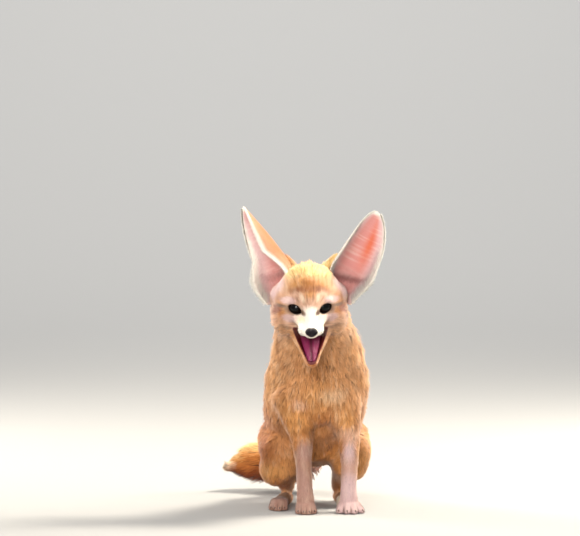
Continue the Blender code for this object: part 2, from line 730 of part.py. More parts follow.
def ear_shell(name, hand):
    ear = EARS[hand]
    bm = bmesh.new()
    shares = [-EAR_SUNK + (0.985 + EAR_SUNK) * (i / EAR_RINGS) ** 0.85 for i in range(EAR_RINGS + 1)]
    columns = [-1 + 2 * k / EAR_COLUMNS for k in range(EAR_COLUMNS + 1)]
    sections = []
    for share in shares:
        back = [ear_point(ear, hand, share, across, False) for across in columns]
        inside = [ear_point(ear, hand, share, across, True) for across in reversed(columns)]
        sections.append(back + inside)
    skin_over(bm, sections)
    bmesh.ops.triangulate(bm, faces=bm.faces)
    return object_of(bm, name)


# Locks

def lock(points, outs, size, draw):
    """A closed flat lock through the points, the last one its tip; outs face out of the coat."""
    bm = bmesh.new()
    wide = size.width * draw.uniform(0.85, 1.15)
    loops = []
    for i, (share, width) in enumerate(zip(LOCK_SHARES, LOCK_WIDTHS)):
        along = (points[i + 1] - points[max(i - 1, 0)]).normalized()
        side = along.cross(outs[i]).normalized()
        over = side.cross(along)
        thick = size.thickness * (1 - (1 - LOCK_THINNING) * share)
        corners = (side * wide * width / 2, over * thick / 2, -side * wide * width / 2, -over * thick / 2)
        loops.append([bm.verts.new(points[i] + corner) for corner in corners])
    tip = bm.verts.new(points[-1])
    bm.faces.new(loops[0])
    for first, second in zip(loops, loops[1:]):
        for k in range(4):
            bm.faces.new((first[k - 1], first[k], second[k], second[k - 1]))
    for k in range(4):
        bm.faces.new((loops[-1][k - 1], loops[-1][k], tip))
    bmesh.ops.triangulate(bm, faces=bm.faces)
    bmesh.ops.recalc_face_normals(bm, faces=bm.faces)
    return object_of(bm, "lock")


def join_locks(obj, locks):
    """One union of the flesh with all its locks."""
    group = bpy.data.collections.new("locks")
    bpy.context.scene.collection.children.link(group)
    for piece in locks:
        bpy.context.scene.collection.objects.unlink(piece)
        group.objects.link(piece)
    union = obj.modifiers.new("Locks", "BOOLEAN")
    union.operation = "UNION"
    union.operand_type = "COLLECTION"
    union.solver = "MANIFOLD"
    union.collection = group
    apply_modifiers(obj)
    discard(*group.objects)
    bpy.data.collections.remove(group)
    keep_largest(obj)


def rising(share):
    """How far a lock has risen from its root to the coat's outer face."""
    return 1 - (1 - share) ** 2.4


def tail_at(place):
    """The tail's centre, direction and outer radius at a place counted in rings, also past its end."""
    last = len(TAIL_CENTRES) - 2
    i = min(int(place), last)
    share = place - i
    start, end = Vector(TAIL_CENTRES[i]) * MM, Vector(TAIL_CENTRES[i + 1]) * MM
    radius = TAIL_RADII[i] + (TAIL_RADII[i + 1] - TAIL_RADII[i]) * share
    return start.lerp(end, share) if share <= 1 else end + (end - start) * (share - 1), max(radius, 1.0) * MM


def tail_lock(place, turn, draw):
    """A lock that leaves the flesh of the tail and follows its bend."""
    start = tail_at(place)[0]
    step = (tail_at(place + 0.5)[0] - tail_at(place - 0.5)[0]).length
    span = TAIL_LOCK.length * draw.uniform(0.85, 1.15) / step
    root_reach = tail_at(place)[1] * tail_core(place) - TAIL_LOCK.sunk
    tip_reach = tail_at(place + span)[1]
    sway = draw.uniform(-0.25, 0.25)
    points, outs = [], []
    for share in LOCK_SHARES:
        here = place + span * share
        centre = tail_at(here)[0]
        along = (tail_at(here + 0.4)[0] - tail_at(here - 0.4)[0]).normalized()
        side = (UP - UP.dot(along) * along).normalized()
        angle = turn + sway * share
        out = side * math.cos(angle) + side.cross(along) * math.sin(angle)
        points.append(centre + out * (root_reach + (tip_reach - root_reach) * rising(share)))
        outs.append(out)
    return lock(points, outs, TAIL_LOCK, draw)


def coat_lock(coat, root, lie, size, depth, lift, draw):
    """A lock that leaves the flesh under the coat's outer face and lies down on that face."""
    span = size.length * draw.uniform(0.85, 1.15)
    points, outs = [], []
    for share in LOCK_SHARES:
        found, place, normal, face = coat.closest_point_on_mesh(root + lie * span * share)
        height = -(depth + size.sunk) + (depth + size.sunk + lift) * rising(share)
        points.append(place + normal * height)
        outs.append(normal)
    return lock(points, outs, size, draw)


def along_surface(way, normal):
    return (way - way.dot(normal) * normal).normalized()


def ruff_locks(coat, draw):
    """Tiers of locks round the neck, hanging down it."""
    locks = []
    for i, tier in enumerate(RUFF_TIERS):
        middle = NECK_CUT_POINT.lerp(TORSO_CUT_POINT, tier)
        way = NECK_CUT_WAY.normalized().lerp(TORSO_CUT_WAY.normalized(), tier)
        side = along_surface(ACROSS, way.normalized())
        fore = side.cross(way.normalized())
        for k in range(RUFF_LOCKS_ROUND):
            turn = 2 * math.pi * (k + 0.5 * (i % 2) + draw.uniform(-0.15, 0.15)) / RUFF_LOCKS_ROUND
            hit, root, normal, face = coat.ray_cast(middle, side * math.cos(turn) + fore * math.sin(turn))
            down = (TORSO_CUT_POINT - NECK_CUT_POINT).normalized() + side * draw.uniform(-0.2, 0.2)
            lie = along_surface(down, normal)
            locks.append(coat_lock(coat, root, lie, RUFF_LOCK, RUFF_DEPTH, 1.2 * MM, draw))
    return locks


def cheek_locks(coat, draw):
    """Locks on both cheeks, swept back and down."""
    locks = []
    turned = head_place().to_3x3()
    for hand in (LEFT, RIGHT):
        for back in CHEEK_TIERS:
            for degrees in CHEEK_TURNS:
                turn = math.radians(degrees + draw.uniform(-5, 5))
                aside = CHEEK_CENTRE.x + 1.2 * CHEEK_RADII.x * math.cos(turn)
                near = Vector((aside, back, CHEEK_CENTRE.z + 1.2 * CHEEK_RADII.z * math.sin(turn)))
                found, root, normal, face = coat.closest_point_on_mesh(head_place() @ mirrored(near, hand))
                lie = along_surface(turned @ mirrored(CHEEK_LIE, hand), normal)
                locks.append(coat_lock(coat, root, lie, CHEEK_LOCK, CHEEK_DEPTH, 1.0 * MM, draw))
    return locks


def tail_locks(draw):
    locks = []
    for i, (place, count) in enumerate(zip(TAIL_TIERS, TAIL_LOCKS_ROUND)):
        for k in range(count):
            turn = 2 * math.pi * (k + 0.5 * (i % 2) + draw.uniform(-0.15, 0.15)) / count
            locks.append(tail_lock(place, turn, draw))
    return locks


def add_locks(obj, locks, clear_of):
    """Joins locks to a node and cuts it clear of the nodes round it."""
    join_locks(obj, locks)
    for other in clear_of:
        boolean(obj, grown(other, GAP), "DIFFERENCE", "MANIFOLD")
    keep_largest(obj)


# Parting the body

def outline_grown(outline, grow):
    """An outline with every side moved outwards by that much."""
    corners = [Vector(point) for point in outline]
    area = sum(a.cross(b) for a, b in zip(corners, corners[1:] + corners[:1]))
    outwards = math.copysign(1.0, area)
    points = []
    for i, corner in enumerate(corners):
        before = (corner - corners[i - 1]).normalized()
        after = (corners[(i + 1) % len(corners)] - corner).normalized()
        normals = [Vector((side.y, -side.x)) * outwards for side in (before, after)]
        points.append(corner + (normals[0] + normals[1]) * grow / (1 + normals[0].dot(normals[1])))
    return [tuple(point) for point in points]


def leg_cutter(outline, inner, hand, grow):
    """A block outside an inner face on one side of the body."""
    bm = bmesh.new()
    low, high = sorted((hand * (inner * MM - grow), hand * FAR_OUT * MM))
    prism(bm, outline_grown(scaled(outline), grow), lambda y: low, lambda y: high)
    return object_of(bm, "leg_cutter")


def part_body(draw):
    torso, coat = whole_body()
    pieces = {"torso": torso}
    for side, hand in (("left", LEFT), ("right", RIGHT)):
        name = "hindleg_" + side
        pieces[name] = part_off(
            torso, name, lambda grow, hand=hand: leg_cutter(HIND_SIDE[hand], HIND_INNER[hand], hand, grow))
    for side, hand in (("left", LEFT), ("right", RIGHT)):
        name = "foreleg_" + side
        pieces[name] = part_off(
            torso, name, lambda grow, hand=hand: leg_cutter(FORE_SIDE, FORE_INNER[hand], hand, grow))
    planes = (
        ("head", NECK_CUT_POINT, NECK_CUT_WAY, torso),
        ("neck", TORSO_CUT_POINT, TORSO_CUT_WAY, torso),
        ("tail_base", TAIL_CUT_POINT, TAIL_CUT_WAY, torso),
    )
    for name, point, way, source in planes:
        pieces[name] = part_off(source, name, lambda grow, point=point, way=way: half_space(point, way, -grow))
    round_tail = [pieces[name] for name in ("torso", "hindleg_left", "hindleg_right")]
    add_locks(pieces["tail_base"], tail_locks(draw), round_tail)
    pieces["tail_tip"] = part_off(
        pieces["tail_base"], "tail_tip", lambda grow: half_space(TAIL_SPLIT_POINT, TAIL_SPLIT_WAY, -grow))
    return pieces, coat


# Materials and the finished model

def material(name, colour, roughness):
    made = bpy.data.materials.get(name) or bpy.data.materials.new(name)
    made.use_nodes = True
    shader = made.node_tree.nodes["Principled BSDF"]
    shader.inputs["Base Color"].default_value = (*colour, 1.0)
    shader.inputs["Roughness"].default_value = roughness
    return made


def fox_pieces():
    draw = random.Random(SEED)
    pieces, coat = part_body(draw)
    head = pieces["head"]
    pieces["jaw"] = part_off(head, "jaw", jaw_cutter)
    pieces["nose"] = set_nose(head)
    pieces["eye_left"] = set_eye(head, "eye_left", LEFT)
    pieces["eye_right"] = set_eye(head, "eye_right", RIGHT)
    pieces["tongue"] = set_tongue(pieces["jaw"], head)
    for name, hand in (("ear_left", LEFT), ("ear_right", RIGHT)):
        pieces[name] = ear_shell(name, hand)
        boolean(pieces[name], grown(head, GAP), "DIFFERENCE")
        keep_largest(pieces[name])
    round_neck = [pieces[name] for name in ("jaw", "torso", "ear_left", "ear_right")]
    add_locks(pieces["neck"], ruff_locks(coat, draw), [head] + round_neck)
    add_locks(head, cheek_locks(coat, draw), [pieces["neck"]] + round_neck)
    discard(coat)
    return pieces


def bounds(objects):
    points = [vert.co for obj in objects for vert in obj.data.vertices]
    low = Vector([min(point[i] for point in points) for i in range(3)])
    high = Vector([max(point[i] for point in points) for i in range(3)])
    return low, high


def finish(pieces):
    """Gives each piece its material and its own origin, and stands the whole at the world's origin."""
    low, high = bounds(pieces.values())
    fox = bpy.data.objects.new("fennec_fox", None)
    bpy.context.scene.collection.objects.link(fox)
    fox.location = (-(low.x + high.x) / 2, -(low.y + high.y) / 2, -low.z)
    for name, obj in pieces.items():
        obj.data.materials.clear()
        obj.data.materials.append(material(*FINISHES[name.split("_")[0]]))
        low, high = bounds([obj])
        middle = (low + high) / 2
        obj.data.transform(Matrix.Translation(-middle))
        obj.location = middle
        obj.parent = fox
        obj.data.shade_smooth()
        obj.data.set_sharp_from_angle(angle=math.radians(50))


def clear_scene():
    for obj in list(bpy.data.objects):
        bpy.data.objects.remove(obj, do_unlink=True)


def main():
    clear_scene()
    finish(fox_pieces())


main()
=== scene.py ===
"""The looks of a life-size fennec fox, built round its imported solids.

One skin stands for the flesh. Its coat is solid tufts that follow the lie of the fur.
Tables hold millimetres in the design's own frame. Everything else is in metres.
"""

import json
import math
from collections import namedtuple

import bmesh
import bpy
import numpy as np
from mathutils import Matrix, Vector
from mathutils.bvhtree import BVHTree
from mathutils.kdtree import KDTree

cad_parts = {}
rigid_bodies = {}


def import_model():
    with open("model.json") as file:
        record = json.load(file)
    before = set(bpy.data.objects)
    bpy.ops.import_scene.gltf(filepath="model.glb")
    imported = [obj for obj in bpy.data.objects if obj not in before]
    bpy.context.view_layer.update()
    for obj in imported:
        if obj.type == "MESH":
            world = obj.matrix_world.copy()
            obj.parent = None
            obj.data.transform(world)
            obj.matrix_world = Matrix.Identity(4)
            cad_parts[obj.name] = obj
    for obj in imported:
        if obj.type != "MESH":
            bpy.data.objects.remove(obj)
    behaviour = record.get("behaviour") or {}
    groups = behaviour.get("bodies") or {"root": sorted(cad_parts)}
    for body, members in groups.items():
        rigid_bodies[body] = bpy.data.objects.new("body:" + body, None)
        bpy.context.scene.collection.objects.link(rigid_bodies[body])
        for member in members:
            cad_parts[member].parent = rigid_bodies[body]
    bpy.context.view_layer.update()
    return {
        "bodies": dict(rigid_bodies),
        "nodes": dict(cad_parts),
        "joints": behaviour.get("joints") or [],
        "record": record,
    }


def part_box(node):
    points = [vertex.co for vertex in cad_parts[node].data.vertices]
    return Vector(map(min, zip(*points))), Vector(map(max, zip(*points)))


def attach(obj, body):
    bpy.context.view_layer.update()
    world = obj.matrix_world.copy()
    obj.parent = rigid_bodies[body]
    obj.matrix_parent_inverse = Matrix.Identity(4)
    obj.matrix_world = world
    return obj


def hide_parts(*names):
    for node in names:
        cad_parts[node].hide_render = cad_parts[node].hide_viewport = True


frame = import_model()

MM = 0.001
LEFT, RIGHT = 1, -1
UP = Vector((0, 0, 1))
ACROSS = Vector((1, 0, 0))
SEED = 5
VOXEL = 1.3 * MM
draw = np.random.default_rng(SEED)

# The flesh, from the same named sizes as the solids.
HEAD_CENTRE = Vector((-2.6, -50.5, 238.0)) * MM
HEAD_PITCH = math.radians(15)
HEAD_YAW = math.radians(2)
HEAD_ROLL = math.radians(-1.5)

Ring = namedtuple("Ring", "x y z side over under")
TRUNK = [
    Ring(-1, -22, 232, 40, 30, 32),
    Ring(3, -6, 210, 47, 36, 38),
    Ring(6, 10, 182, 53, 42, 43),
    Ring(7, 23, 152, 60, 47, 47),
    Ring(4, 43, 120, 60, 48, 52),
    Ring(1, 68, 96, 56, 46, 55),
    Ring(-5, 93, 78, 49, 42, 43),
    Ring(-10, 114, 67, 36, 34, 31),
]
BREAST_CENTRE = Vector((8, -4, 142)) * MM
BREAST_RADII = Vector((40, 25, 42)) * MM
SKULL = [
    Ring(0, -55.0, -9.5, 9.0, 7.0, 7.5),
    Ring(0, -46, -8.0, 12.0, 10.0, 9.5),
    Ring(0, -36, -5.0, 15.0, 14.0, 11.5),
    Ring(0, -27, -1.5, 20.0, 18.0, 14.0),
    Ring(0, -18, 1.5, 28.0, 25.0, 18.0),
    Ring(0, -6, 4.0, 37.0, 36.0, 26.0),
    Ring(0, 9, 5.0, 41.0, 45.0, 32.0),
    Ring(0, 22, 5.0, 39.0, 45.0, 32.0),
    Ring(0, 34, 5.0, 31.0, 33.0, 26.0),
]
CHEEK_CENTRE = Vector((24.0, 7.0, -9.0)) * MM
CHEEK_RADII = Vector((21.0, 26.0, 25.0)) * MM
EAR_ROOT_CENTRE = Vector((31.0, 19.0, 8.0)) * MM
EAR_ROOT_RADII = Vector((15.5, 12.0, 19.5)) * MM
BROW_CENTRE = Vector((16.0, -16.0, 15.0)) * MM
BROW_RADII = Vector((12.0, 9.0, 8.0)) * MM
EAR_FOOT = {LEFT: (Vector((14, -26, 278)) * MM, Vector((28, -28, 298)) * MM),
            RIGHT: (Vector((-20, -22, 278)) * MM, Vector((-30, -16, 296)) * MM)}
EAR_FOOT_RADII = (10 * MM, 5.0 * MM)
WHISKER_PAD_CENTRE = Vector((7.5, -42.0, -10.0)) * MM
WHISKER_PAD_RADII = Vector((8.0, 11.0, 7.0)) * MM
JAW = [
    Ring(0, -51.5, -49.0, 7.0, 4.0, 5.5),
    Ring(0, -43, -42.0, 11.0, 5.5, 7.0),
    Ring(0, -30, -32.0, 18.0, 8.0, 9.5),
    Ring(0, -16, -22.5, 25.0, 11.0, 13.0),
    Ring(0, 2, -12.0, 29.0, 13.0, 17.0),
]
# The open mouth along the head, as (ahead, up) for its roof and its lower lip,
# and as (ahead, half width) for its roof and its floor.
MOUTH_TOP = [(-9, -16.0), (-17, -17.5), (-26, -17.5), (-36, -16.2), (-50, -17.6), (-80, -18.2)]
MOUTH_LIP = [(-9, -17.0), (-17, -22.5), (-30, -30.0), (-43, -38.5), (-53, -46.0), (-80, -66.0)]
MOUTH_WIDE = [(-9, 17.5), (-21, 22), (-26, 23), (-32, 26), (-50, 33), (-80, 42)]
MOUTH_NARROW = [(-9, 13), (-17, 16.5), (-30, 13.5), (-43, 9.4), (-53, 6.5), (-80, 6)]
# How much the roof rises towards the corners of the mouth.
MOUTH_SMILE = 2.6
MOUTH_ROOF = [Ring(0, -4, -17, 13, 3.0, 3.0), Ring(0, -24, -15, 15, 5.5, 3), Ring(0, -50, -15.5, 6, 3.0, 2)]
MOUTH_BED = [
    Ring(0, 0, -18.5, 12, 3.0, 4.0),
    Ring(0, -16, -23, 16, 6.0, 4.5),
    Ring(0, -30, -31.5, 12.0, 6.0, 3.5),
    Ring(0, -43, -41.0, 7.8, 5.0, 3.0),
    Ring(0, -50, -46.5, 4.5, 3.0, 2.0),
]
TONGUE = [
    Ring(0, -3, -20.5, 9.5, 2.5, 3.5),
    Ring(0, -16, -24.5, 12.5, 3.0, 5.0),
    Ring(0, -30, -32.0, 10.0, 2.8, 4.5),
    Ring(0, -42, -40.4, 6.8, 2.4, 3.6),
    Ring(0, -49, -45.4, 4.6, 1.8, 2.4),
]
EYE_PLACE = Vector((14.7, -15.0, 8.0)) * MM
EYE_RADIUS = 9.8 * MM
EYE_GAZE = Vector((0.27, -0.955, 0.1))
LID_HALF_LENGTH = 8.8 * MM
LID_HALF_HEIGHT = 5.3 * MM
LID_TILT = math.radians(13)
# The dark rim of the eye: how far it stands off the opening and the eyeball, and its radii.
RIM_GROW = 0.2 * MM
RIM_LIFT = 0.4 * MM
RIM_UPPER = 0.65 * MM
RIM_LOWER = 0.5 * MM
RIM_STEPS = 64
RIM_SIDES = 10
NOSE_CENTRE = Vector((0, -58.5, -7.6)) * MM
NOSE_RADII = Vector((7.2, 5.4, 5.4)) * MM

Ear = namedtuple("Ear", "root tip turn_root turn_tip bow half_width depth")
EARS = {
    LEFT: Ear(Vector((35, -39, 260)) * MM, Vector((76, -24, 348)) * MM,
              math.radians(8), math.radians(20), 5 * MM, 26 * MM, 32 * MM),
    RIGHT: Ear(Vector((-41, -36, 260)) * MM, Vector((-79, -16, 353)) * MM,
               math.radians(26), math.radians(71), 6 * MM, 28 * MM, 39 * MM),
}
EAR_TURNED_BY = 0.4
EAR_WALL_ROOT = 3.0 * MM
EAR_WALL_RIM = 1.5 * MM
EAR_SUNK = 0.20
EAR_FINE_RINGS = 90
EAR_FINE_COLUMNS = 44

FORELEG = {
    RIGHT: [
        Ring(-21, 2, 134, 27, 25, 27),
        Ring(-16, -6, 106, 18, 18, 19),
        Ring(-11, -11, 82, 12.5, 13.5, 14),
        Ring(-9, -17, 55, 10, 11, 11.5),
        Ring(-8, -24, 28, 9.8, 10.8, 10.8),
        Ring(-7, -30, 14, 11.2, 9, 10),
    ],
    LEFT: [
        Ring(33, 8, 134, 27, 25, 27),
        Ring(40, -1, 106, 18, 18, 19),
        Ring(43.5, -6, 82, 13, 13.5, 14),
        Ring(44, -12, 55, 10.5, 11, 11.5),
        Ring(43, -19, 28, 9.8, 10.8, 10.8),
        Ring(43, -25, 14, 11.2, 9, 10),
    ],
}
THIGH = {
    RIGHT: [Ring(-25, 98, 82, 29, 28, 30), Ring(-32, 68, 74, 31, 36, 34), Ring(-35, 38, 62, 25, 31, 29)],
    LEFT: [Ring(17, 98, 84, 28, 26, 28), Ring(38, 72, 74, 31, 36, 34), Ring(44, 42, 62, 26, 31, 29)],
}
SHIN = {
    RIGHT: [Ring(-34, 34, 50, 20, 21, 20), Ring(-32, 60, 34, 15, 15, 14), Ring(-28, 84, 18, 9, 9, 10)],
    LEFT: [Ring(43, 38, 50, 20, 21, 20), Ring(38, 62, 34, 15, 15, 14), Ring(32, 86, 18, 9, 9, 10)],
}
HAUNCH_RADII = Vector((20, 26, 24)) * MM
HAUNCH_CENTRE = {RIGHT: Vector((-41, 46, 46)) * MM, LEFT: Vector((47, 50, 52)) * MM}
Paw = namedtuple("Paw", "toe root half_width spread")
FOREPAW = {
    RIGHT: Paw(Vector((-6, -54, 0)) * MM, Vector((-7, -27, 0)) * MM, 10.5 * MM, 1.0),
    LEFT: Paw(Vector((46, -49, 0)) * MM, Vector((43, -22, 0)) * MM, 11.0 * MM, 1.4),
}
HINDPAW = {
    RIGHT: Paw(Vector((-40, -18, 0)) * MM, Vector((-29, 76, 0)) * MM, 9.5 * MM, 0.95),
    LEFT: Paw(Vector((42, 4, 0)) * MM, Vector((33, 92, 0)) * MM, 9.5 * MM, 0.95),
}
TOE_RADIUS = 4.8 * MM
TOE_LENGTH = 17 * MM
TOE_OFFSETS = (-0.86, -0.3, 0.3, 0.86)
TOE_SETBACKS = (6.5 * MM, 0.5 * MM, 0.5 * MM, 6.5 * MM)
PALM_HEIGHT = 8.0 * MM
FOOT_RADIUS = 8.5 * MM
FLAT_SINK = 1.8 * MM

TAIL_CENTRES = [
    (-10, 116, 66), (-9, 138, 55), (-12, 160, 47), (-22, 179, 42), (-39, 192, 39),
    (-59, 197, 36.5), (-79, 196, 33), (-96, 191, 30.5), (-107, 186, 29.5),
]
TAIL_RADII = (14, 17, 20, 22.5, 23.5, 23, 17.5, 10.5, 4.5)
TAIL_CORE = 0.5
TAIL_SLIM_BY = 1.5
TAIL_FLESH_RINGS = 8
TAIL_LENGTH = 25 * MM

# Colours, as seen on a screen.
WHITE = (0.98, 0.94, 0.88)
CREAM = (0.95, 0.86, 0.74)
PINKISH = (0.85, 0.66, 0.55)
LILAC = (0.86, 0.72, 0.71)
# The legs' lilac darkened by painted shade, for the right legs.
SHADED_LILAC = (0.71, 0.54, 0.48)
SAND = (0.79, 0.55, 0.32)
TAN = (0.71, 0.46, 0.24)
ORANGE = (0.74, 0.45, 0.20)
# Pale gold, which on the crown, round the ears' roots and on the tail's crest is also painted sunlight.
GOLD_AND_SUNLIGHT = (0.96, 0.81, 0.53)
RUST = (0.52, 0.25, 0.10)
BROWN = (0.38, 0.24, 0.14)
PINK = (0.84, 0.56, 0.53)
# A dark red: the own red of the mouth's lining and the ear's fold, darkened by painted shade.
RED_IN_SHADE = (0.36, 0.07, 0.07)
# The orange of a painted glow of light inside the left ear.
EAR_GLOW = (0.84, 0.36, 0.14)

# Guides of the coat: place, lie, length, height of the tips over the skin, colour.
# On the head they are in its own frame, and stand for both sides.
HEAD_GUIDES = [
    (0, -52, 3, 0, 1, 0.3, 2.0, 0.6, WHITE),
    (0, -38, 9, 0, 1, 0.4, 2.2, 0.7, WHITE),
    (11, -44, -8, 0.3, 1, -0.1, 2.3, 0.8, WHITE),
    (9, -50, -13, 0.3, 0.9, -0.3, 2.0, 0.6, WHITE),
    (15, -33, -8, 0.4, 1, -0.2, 2.8, 0.9, CREAM),
    (0, -27, 15, 0, 0.8, 0.6, 2.6, 0.9, PINKISH),
    (8, -24, 15, 0.2, 0.8, 0.6, 2.6, 0.9, PINKISH),
    (0, -21, 24, 0, 0.8, 0.6, 3.0, 1.0, SAND),
    (15, -19, 20, 0.3, 0.7, 0.6, 3.2, 1.1, PINKISH),
    (0, -12, 33, 0, 0.8, 0.6, 4.0, 1.6, TAN),
    (14, -8, 32, 0.2, 0.8, 0.5, 4.2, 1.8, SAND),
    # The crown's gold is partly its own colour and partly painted sunlight.
    (0, 2, 46, 0, 0.95, 0.4, 7.0, 3.6, GOLD_AND_SUNLIGHT),
    (16, 6, 44, 0.3, 0.9, 0.3, 6.5, 3.2, GOLD_AND_SUNLIGHT),
    (0, 12, 50, 0, 0.9, 0.5, 9.0, 5.5, GOLD_AND_SUNLIGHT),
    (0, 24, 50, 0, 1, 0.1, 9.0, 3.8, ORANGE),
    (22, -18, -6, 0.8, 0.6, -0.2, 3.0, 1.0, PINKISH),
    (29, -12, 3, 0.8, 0.6, 0, 3.6, 1.2, TAN),
    (34, -4, 12, 0.5, 0.85, 0.2, 5.0, 1.6, TAN),
    (36, 2, -8, 0.4, 0.8, -0.5, 8.0, 2.8, PINKISH),
    (40, 15, -14, 0.3, 0.8, -0.6, 11.0, 3.8, SAND),
    (30, -4, -22, 0.3, 0.7, -0.7, 7.0, 2.6, SAND),
    (20, -22, -28, 0.3, 0.9, -0.4, 3.5, 1.2, SAND),
    (10, -42, -46, 0.2, 1, -0.4, 2.6, 0.9, ORANGE),
    (0, -52, -54, 0, 0.9, -0.4, 2.4, 0.8, ORANGE),
    (12, -40, -37, 0.2, 1, -0.4, 2.4, 0.8, SAND),
    (0, -30, -46, 0, 0.9, -0.6, 5.0, 2.0, SAND),
    (0, -8, -36, 0, 0.6, -0.8, 9.0, 4.0, TAN),
    (0, 42, 30, 0, 0.6, -0.8, 12.0, 5.0, SAND),
    (34, 28, 18, 0.2, 0.8, -0.5, 8.0, 3.2, SAND),
    (44, 12, 16, 0.5, 0.2, 0.8, 2.6, 0.9, LILAC),
    (36, 8, 26, 0.5, 0.3, 0.8, 2.6, 0.9, LILAC),
    (46, 18, 2, 0.4, 0.6, 0.5, 3.2, 1.1, PINKISH),
]
BODY_GUIDES = [
    (0, -50, 196, 0, -0.1, -1, 12, 6.0, TAN),
    (-44, -8, 205, -0.1, 0.2, -1, 13, 6.5, SAND),
    (48, -8, 205, 0.1, 0.2, -1, 13, 6.5, SAND),
    (0, 32, 232, 0, 0.6, -0.8, 13, 6.5, SAND),
    (5, -44, 165, 0, 0, -1, 12, 5.5, TAN),
    (10, -36, 138, 0, 0.1, -1, 11, 5.0, SAND),
    (-52, 15, 160, 0, 0.25, -1, 12, 5.0, SAND),
    (66, 18, 160, 0, 0.25, -1, 12, 5.0, SAND),
    (-56, 55, 110, 0, 0.5, -0.9, 11, 4.5, ORANGE),
    (62, 60, 110, 0, 0.5, -0.9, 11, 4.5, ORANGE),
    (7, 62, 190, 0, 0.6, -0.8, 13, 5.5, SAND),
    (5, 92, 145, 0, 0.55, -0.8, 12, 5.0, ORANGE),
    (-5, 128, 98, 0, 0.6, -0.7, 12, 5.0, ORANGE),
    (5, -10, 100, 0, 0.2, -1, 8, 3.5, TAN),
    (14, 20, 72, 0, 0.6, -0.6, 8, 3.2, TAN),
    (0, 70, 42, 0, 0.9, -0.2, 5, 1.8, TAN),
    (12, 94, 46, 0, 0.95, -0.1, 4.0, 1.3, TAN),
    (16, 2, 56, 0, 0.95, -0.2, 4.5, 1.5, TAN),
    (16, 30, 50, 0, 0.95, -0.2, 4.5, 1.5, TAN),
    (6, 16, 50, 0, 0.95, -0.2, 4.5, 1.5, TAN),
    # The right legs take darker colours than the left ones: painted shade on the right side.
    (-18, -24, 108, 0, 0, -1, 8, 3.0, SAND),
    (42, -20, 108, 0, 0, -1, 8, 3.0, SAND),
    (-10, -30, 95, 0, 0, -1, 6.0, 2.2, TAN),
    (-8, -26, 72, 0, 0, -1, 4.8, 1.8, SHADED_LILAC),
    (-22, -14, 80, 0, 0.1, -1, 5.2, 1.9, TAN),
    (-18, -22, 44, 0, 0.1, -1, 3.8, 1.4, SHADED_LILAC),
    (44, -24, 94, 0, 0, -1, 6.0, 2.2, PINKISH),
    (44, -22, 72, 0, 0, -1, 4.8, 1.8, LILAC),
    (32, -12, 76, 0, 0.1, -1, 5.2, 1.9, TAN),
    (55, -10, 72, 0, 0.1, -1, 5.2, 1.9, SAND),
    (-8, -36, 32, 0, -0.1, -1, 3.4, 1.1, SHADED_LILAC),
    (43, -31, 32, 0, -0.1, -1, 3.4, 1.1, LILAC),
    (-8, -4, 40, 0, 0.1, -1, 4.4, 1.6, SAND),
    (44, 1, 40, 0, 0.1, -1, 4.4, 1.6, SAND),
    (-6, -50, 8, 0, -1, -0.25, 2.4, 0.8, SHADED_LILAC),
    (46, -45, 8, 0, -1, -0.25, 2.4, 0.8, LILAC),
    (-64, 48, 78, 0, 0.25, -1, 9, 3.4, ORANGE),
    (76, 52, 78, 0, 0.25, -1, 9, 3.4, SAND),
    (-46, 20, 48, 0, 0.1, -1, 6.5, 2.4, SAND),
    (54, 24, 52, 0, 0.1, -1, 6.5, 2.4, SAND),
    (-44, 60, 26, 0, 0.4, -0.8, 5.0, 1.8, TAN),
    (54, 64, 26, 0, 0.4, -0.8, 5.0, 1.8, TAN),
    (-38, 0, 9, 0, -1, -0.2, 2.6, 0.9, SHADED_LILAC),
    (42, 22, 9, 0, -1, -0.2, 2.6, 0.9, CREAM),
    (-32, 45, 12, 0, -0.7, -0.6, 3.4, 1.2, TAN),
    (38, 62, 12, 0, -0.7, -0.6, 3.4, 1.2, TAN),
    (-29, 88, 14, 0, 0.3, -0.9, 4.0, 1.4, TAN),
    (32, 102, 14, 0, 0.3, -0.9, 4.0, 1.4, TAN),
    (24, -36, 288, 0.5, 0, 0.85, 4.5, 1.6, GOLD_AND_SUNLIGHT),
    (28, -28, 305, 0.5, 0.1, 0.85, 3.2, 1.1, GOLD_AND_SUNLIGHT),
    (24, -17, 290, 0.5, 0.1, 0.85, 5.0, 2.0, ORANGE),
    (-31, -35, 288, -0.5, 0, 0.85, 4.5, 1.6, GOLD_AND_SUNLIGHT),
    (-36, -25, 306, -0.5, 0.1, 0.85, 3.2, 1.1, GOLD_AND_SUNLIGHT),
    (-31, -16, 290, -0.5, 0.1, 0.85, 5.0, 2.0, ORANGE),
]

# How far out of the skin the mouth's hollow is looked for.
MOUTH_LOOKS = (1.2 * MM, 2.6 * MM)

# Soft spots of colour on the face, in its front plane: across, up, half sizes, tilt, colour, strength.
FACE_SLOPE = math.radians(19)
FACE_SPOTS = [
    (25, -34, 9, 9, 0, ORANGE, 0.5),
    (0, 21.5, 20, 3.6, 0, RUST, 0.55),
    (15, 22, 9, 3, -25, RUST, 0.4),
    (36, 13, 7, 3, 10, RUST, 0.4),
    (38, 1, 7, 6, 0, RUST, 0.95),
    (24, 10, 9, 4.5, 6, LILAC, 0.8),
    (8.5, 12, 2.6, 6.5, -22, CREAM, 0.6),
    (3.4, 12, 1.0, 6, -6, BROWN, 0.4),
    (13.5, 10, 1.2, 6, -28, BROWN, 0.35),
    (23, -9.5, 9, 4.6, 12, LILAC, 0.8),
    (0, -19.5, 14.5, 7.5, 0, WHITE, 0.95),
    (0, -10.5, 4.6, 6.0, 0, WHITE, 0.9),
    (10, -12, 3.6, 3.8, 0, GOLD_AND_SUNLIGHT, 0.4),
    (32, 4.5, 6.5, 2.0, 10, BROWN, 0.9),
    (27, -19, 8, 1.6, 20, BROWN, 0.55),
    (18.6, 0.2, 10.4, 6.6, 21, BROWN, 0.9),
    (8.4, -4.6, 2.5, 4.2, -35, BROWN, 0.95),
]
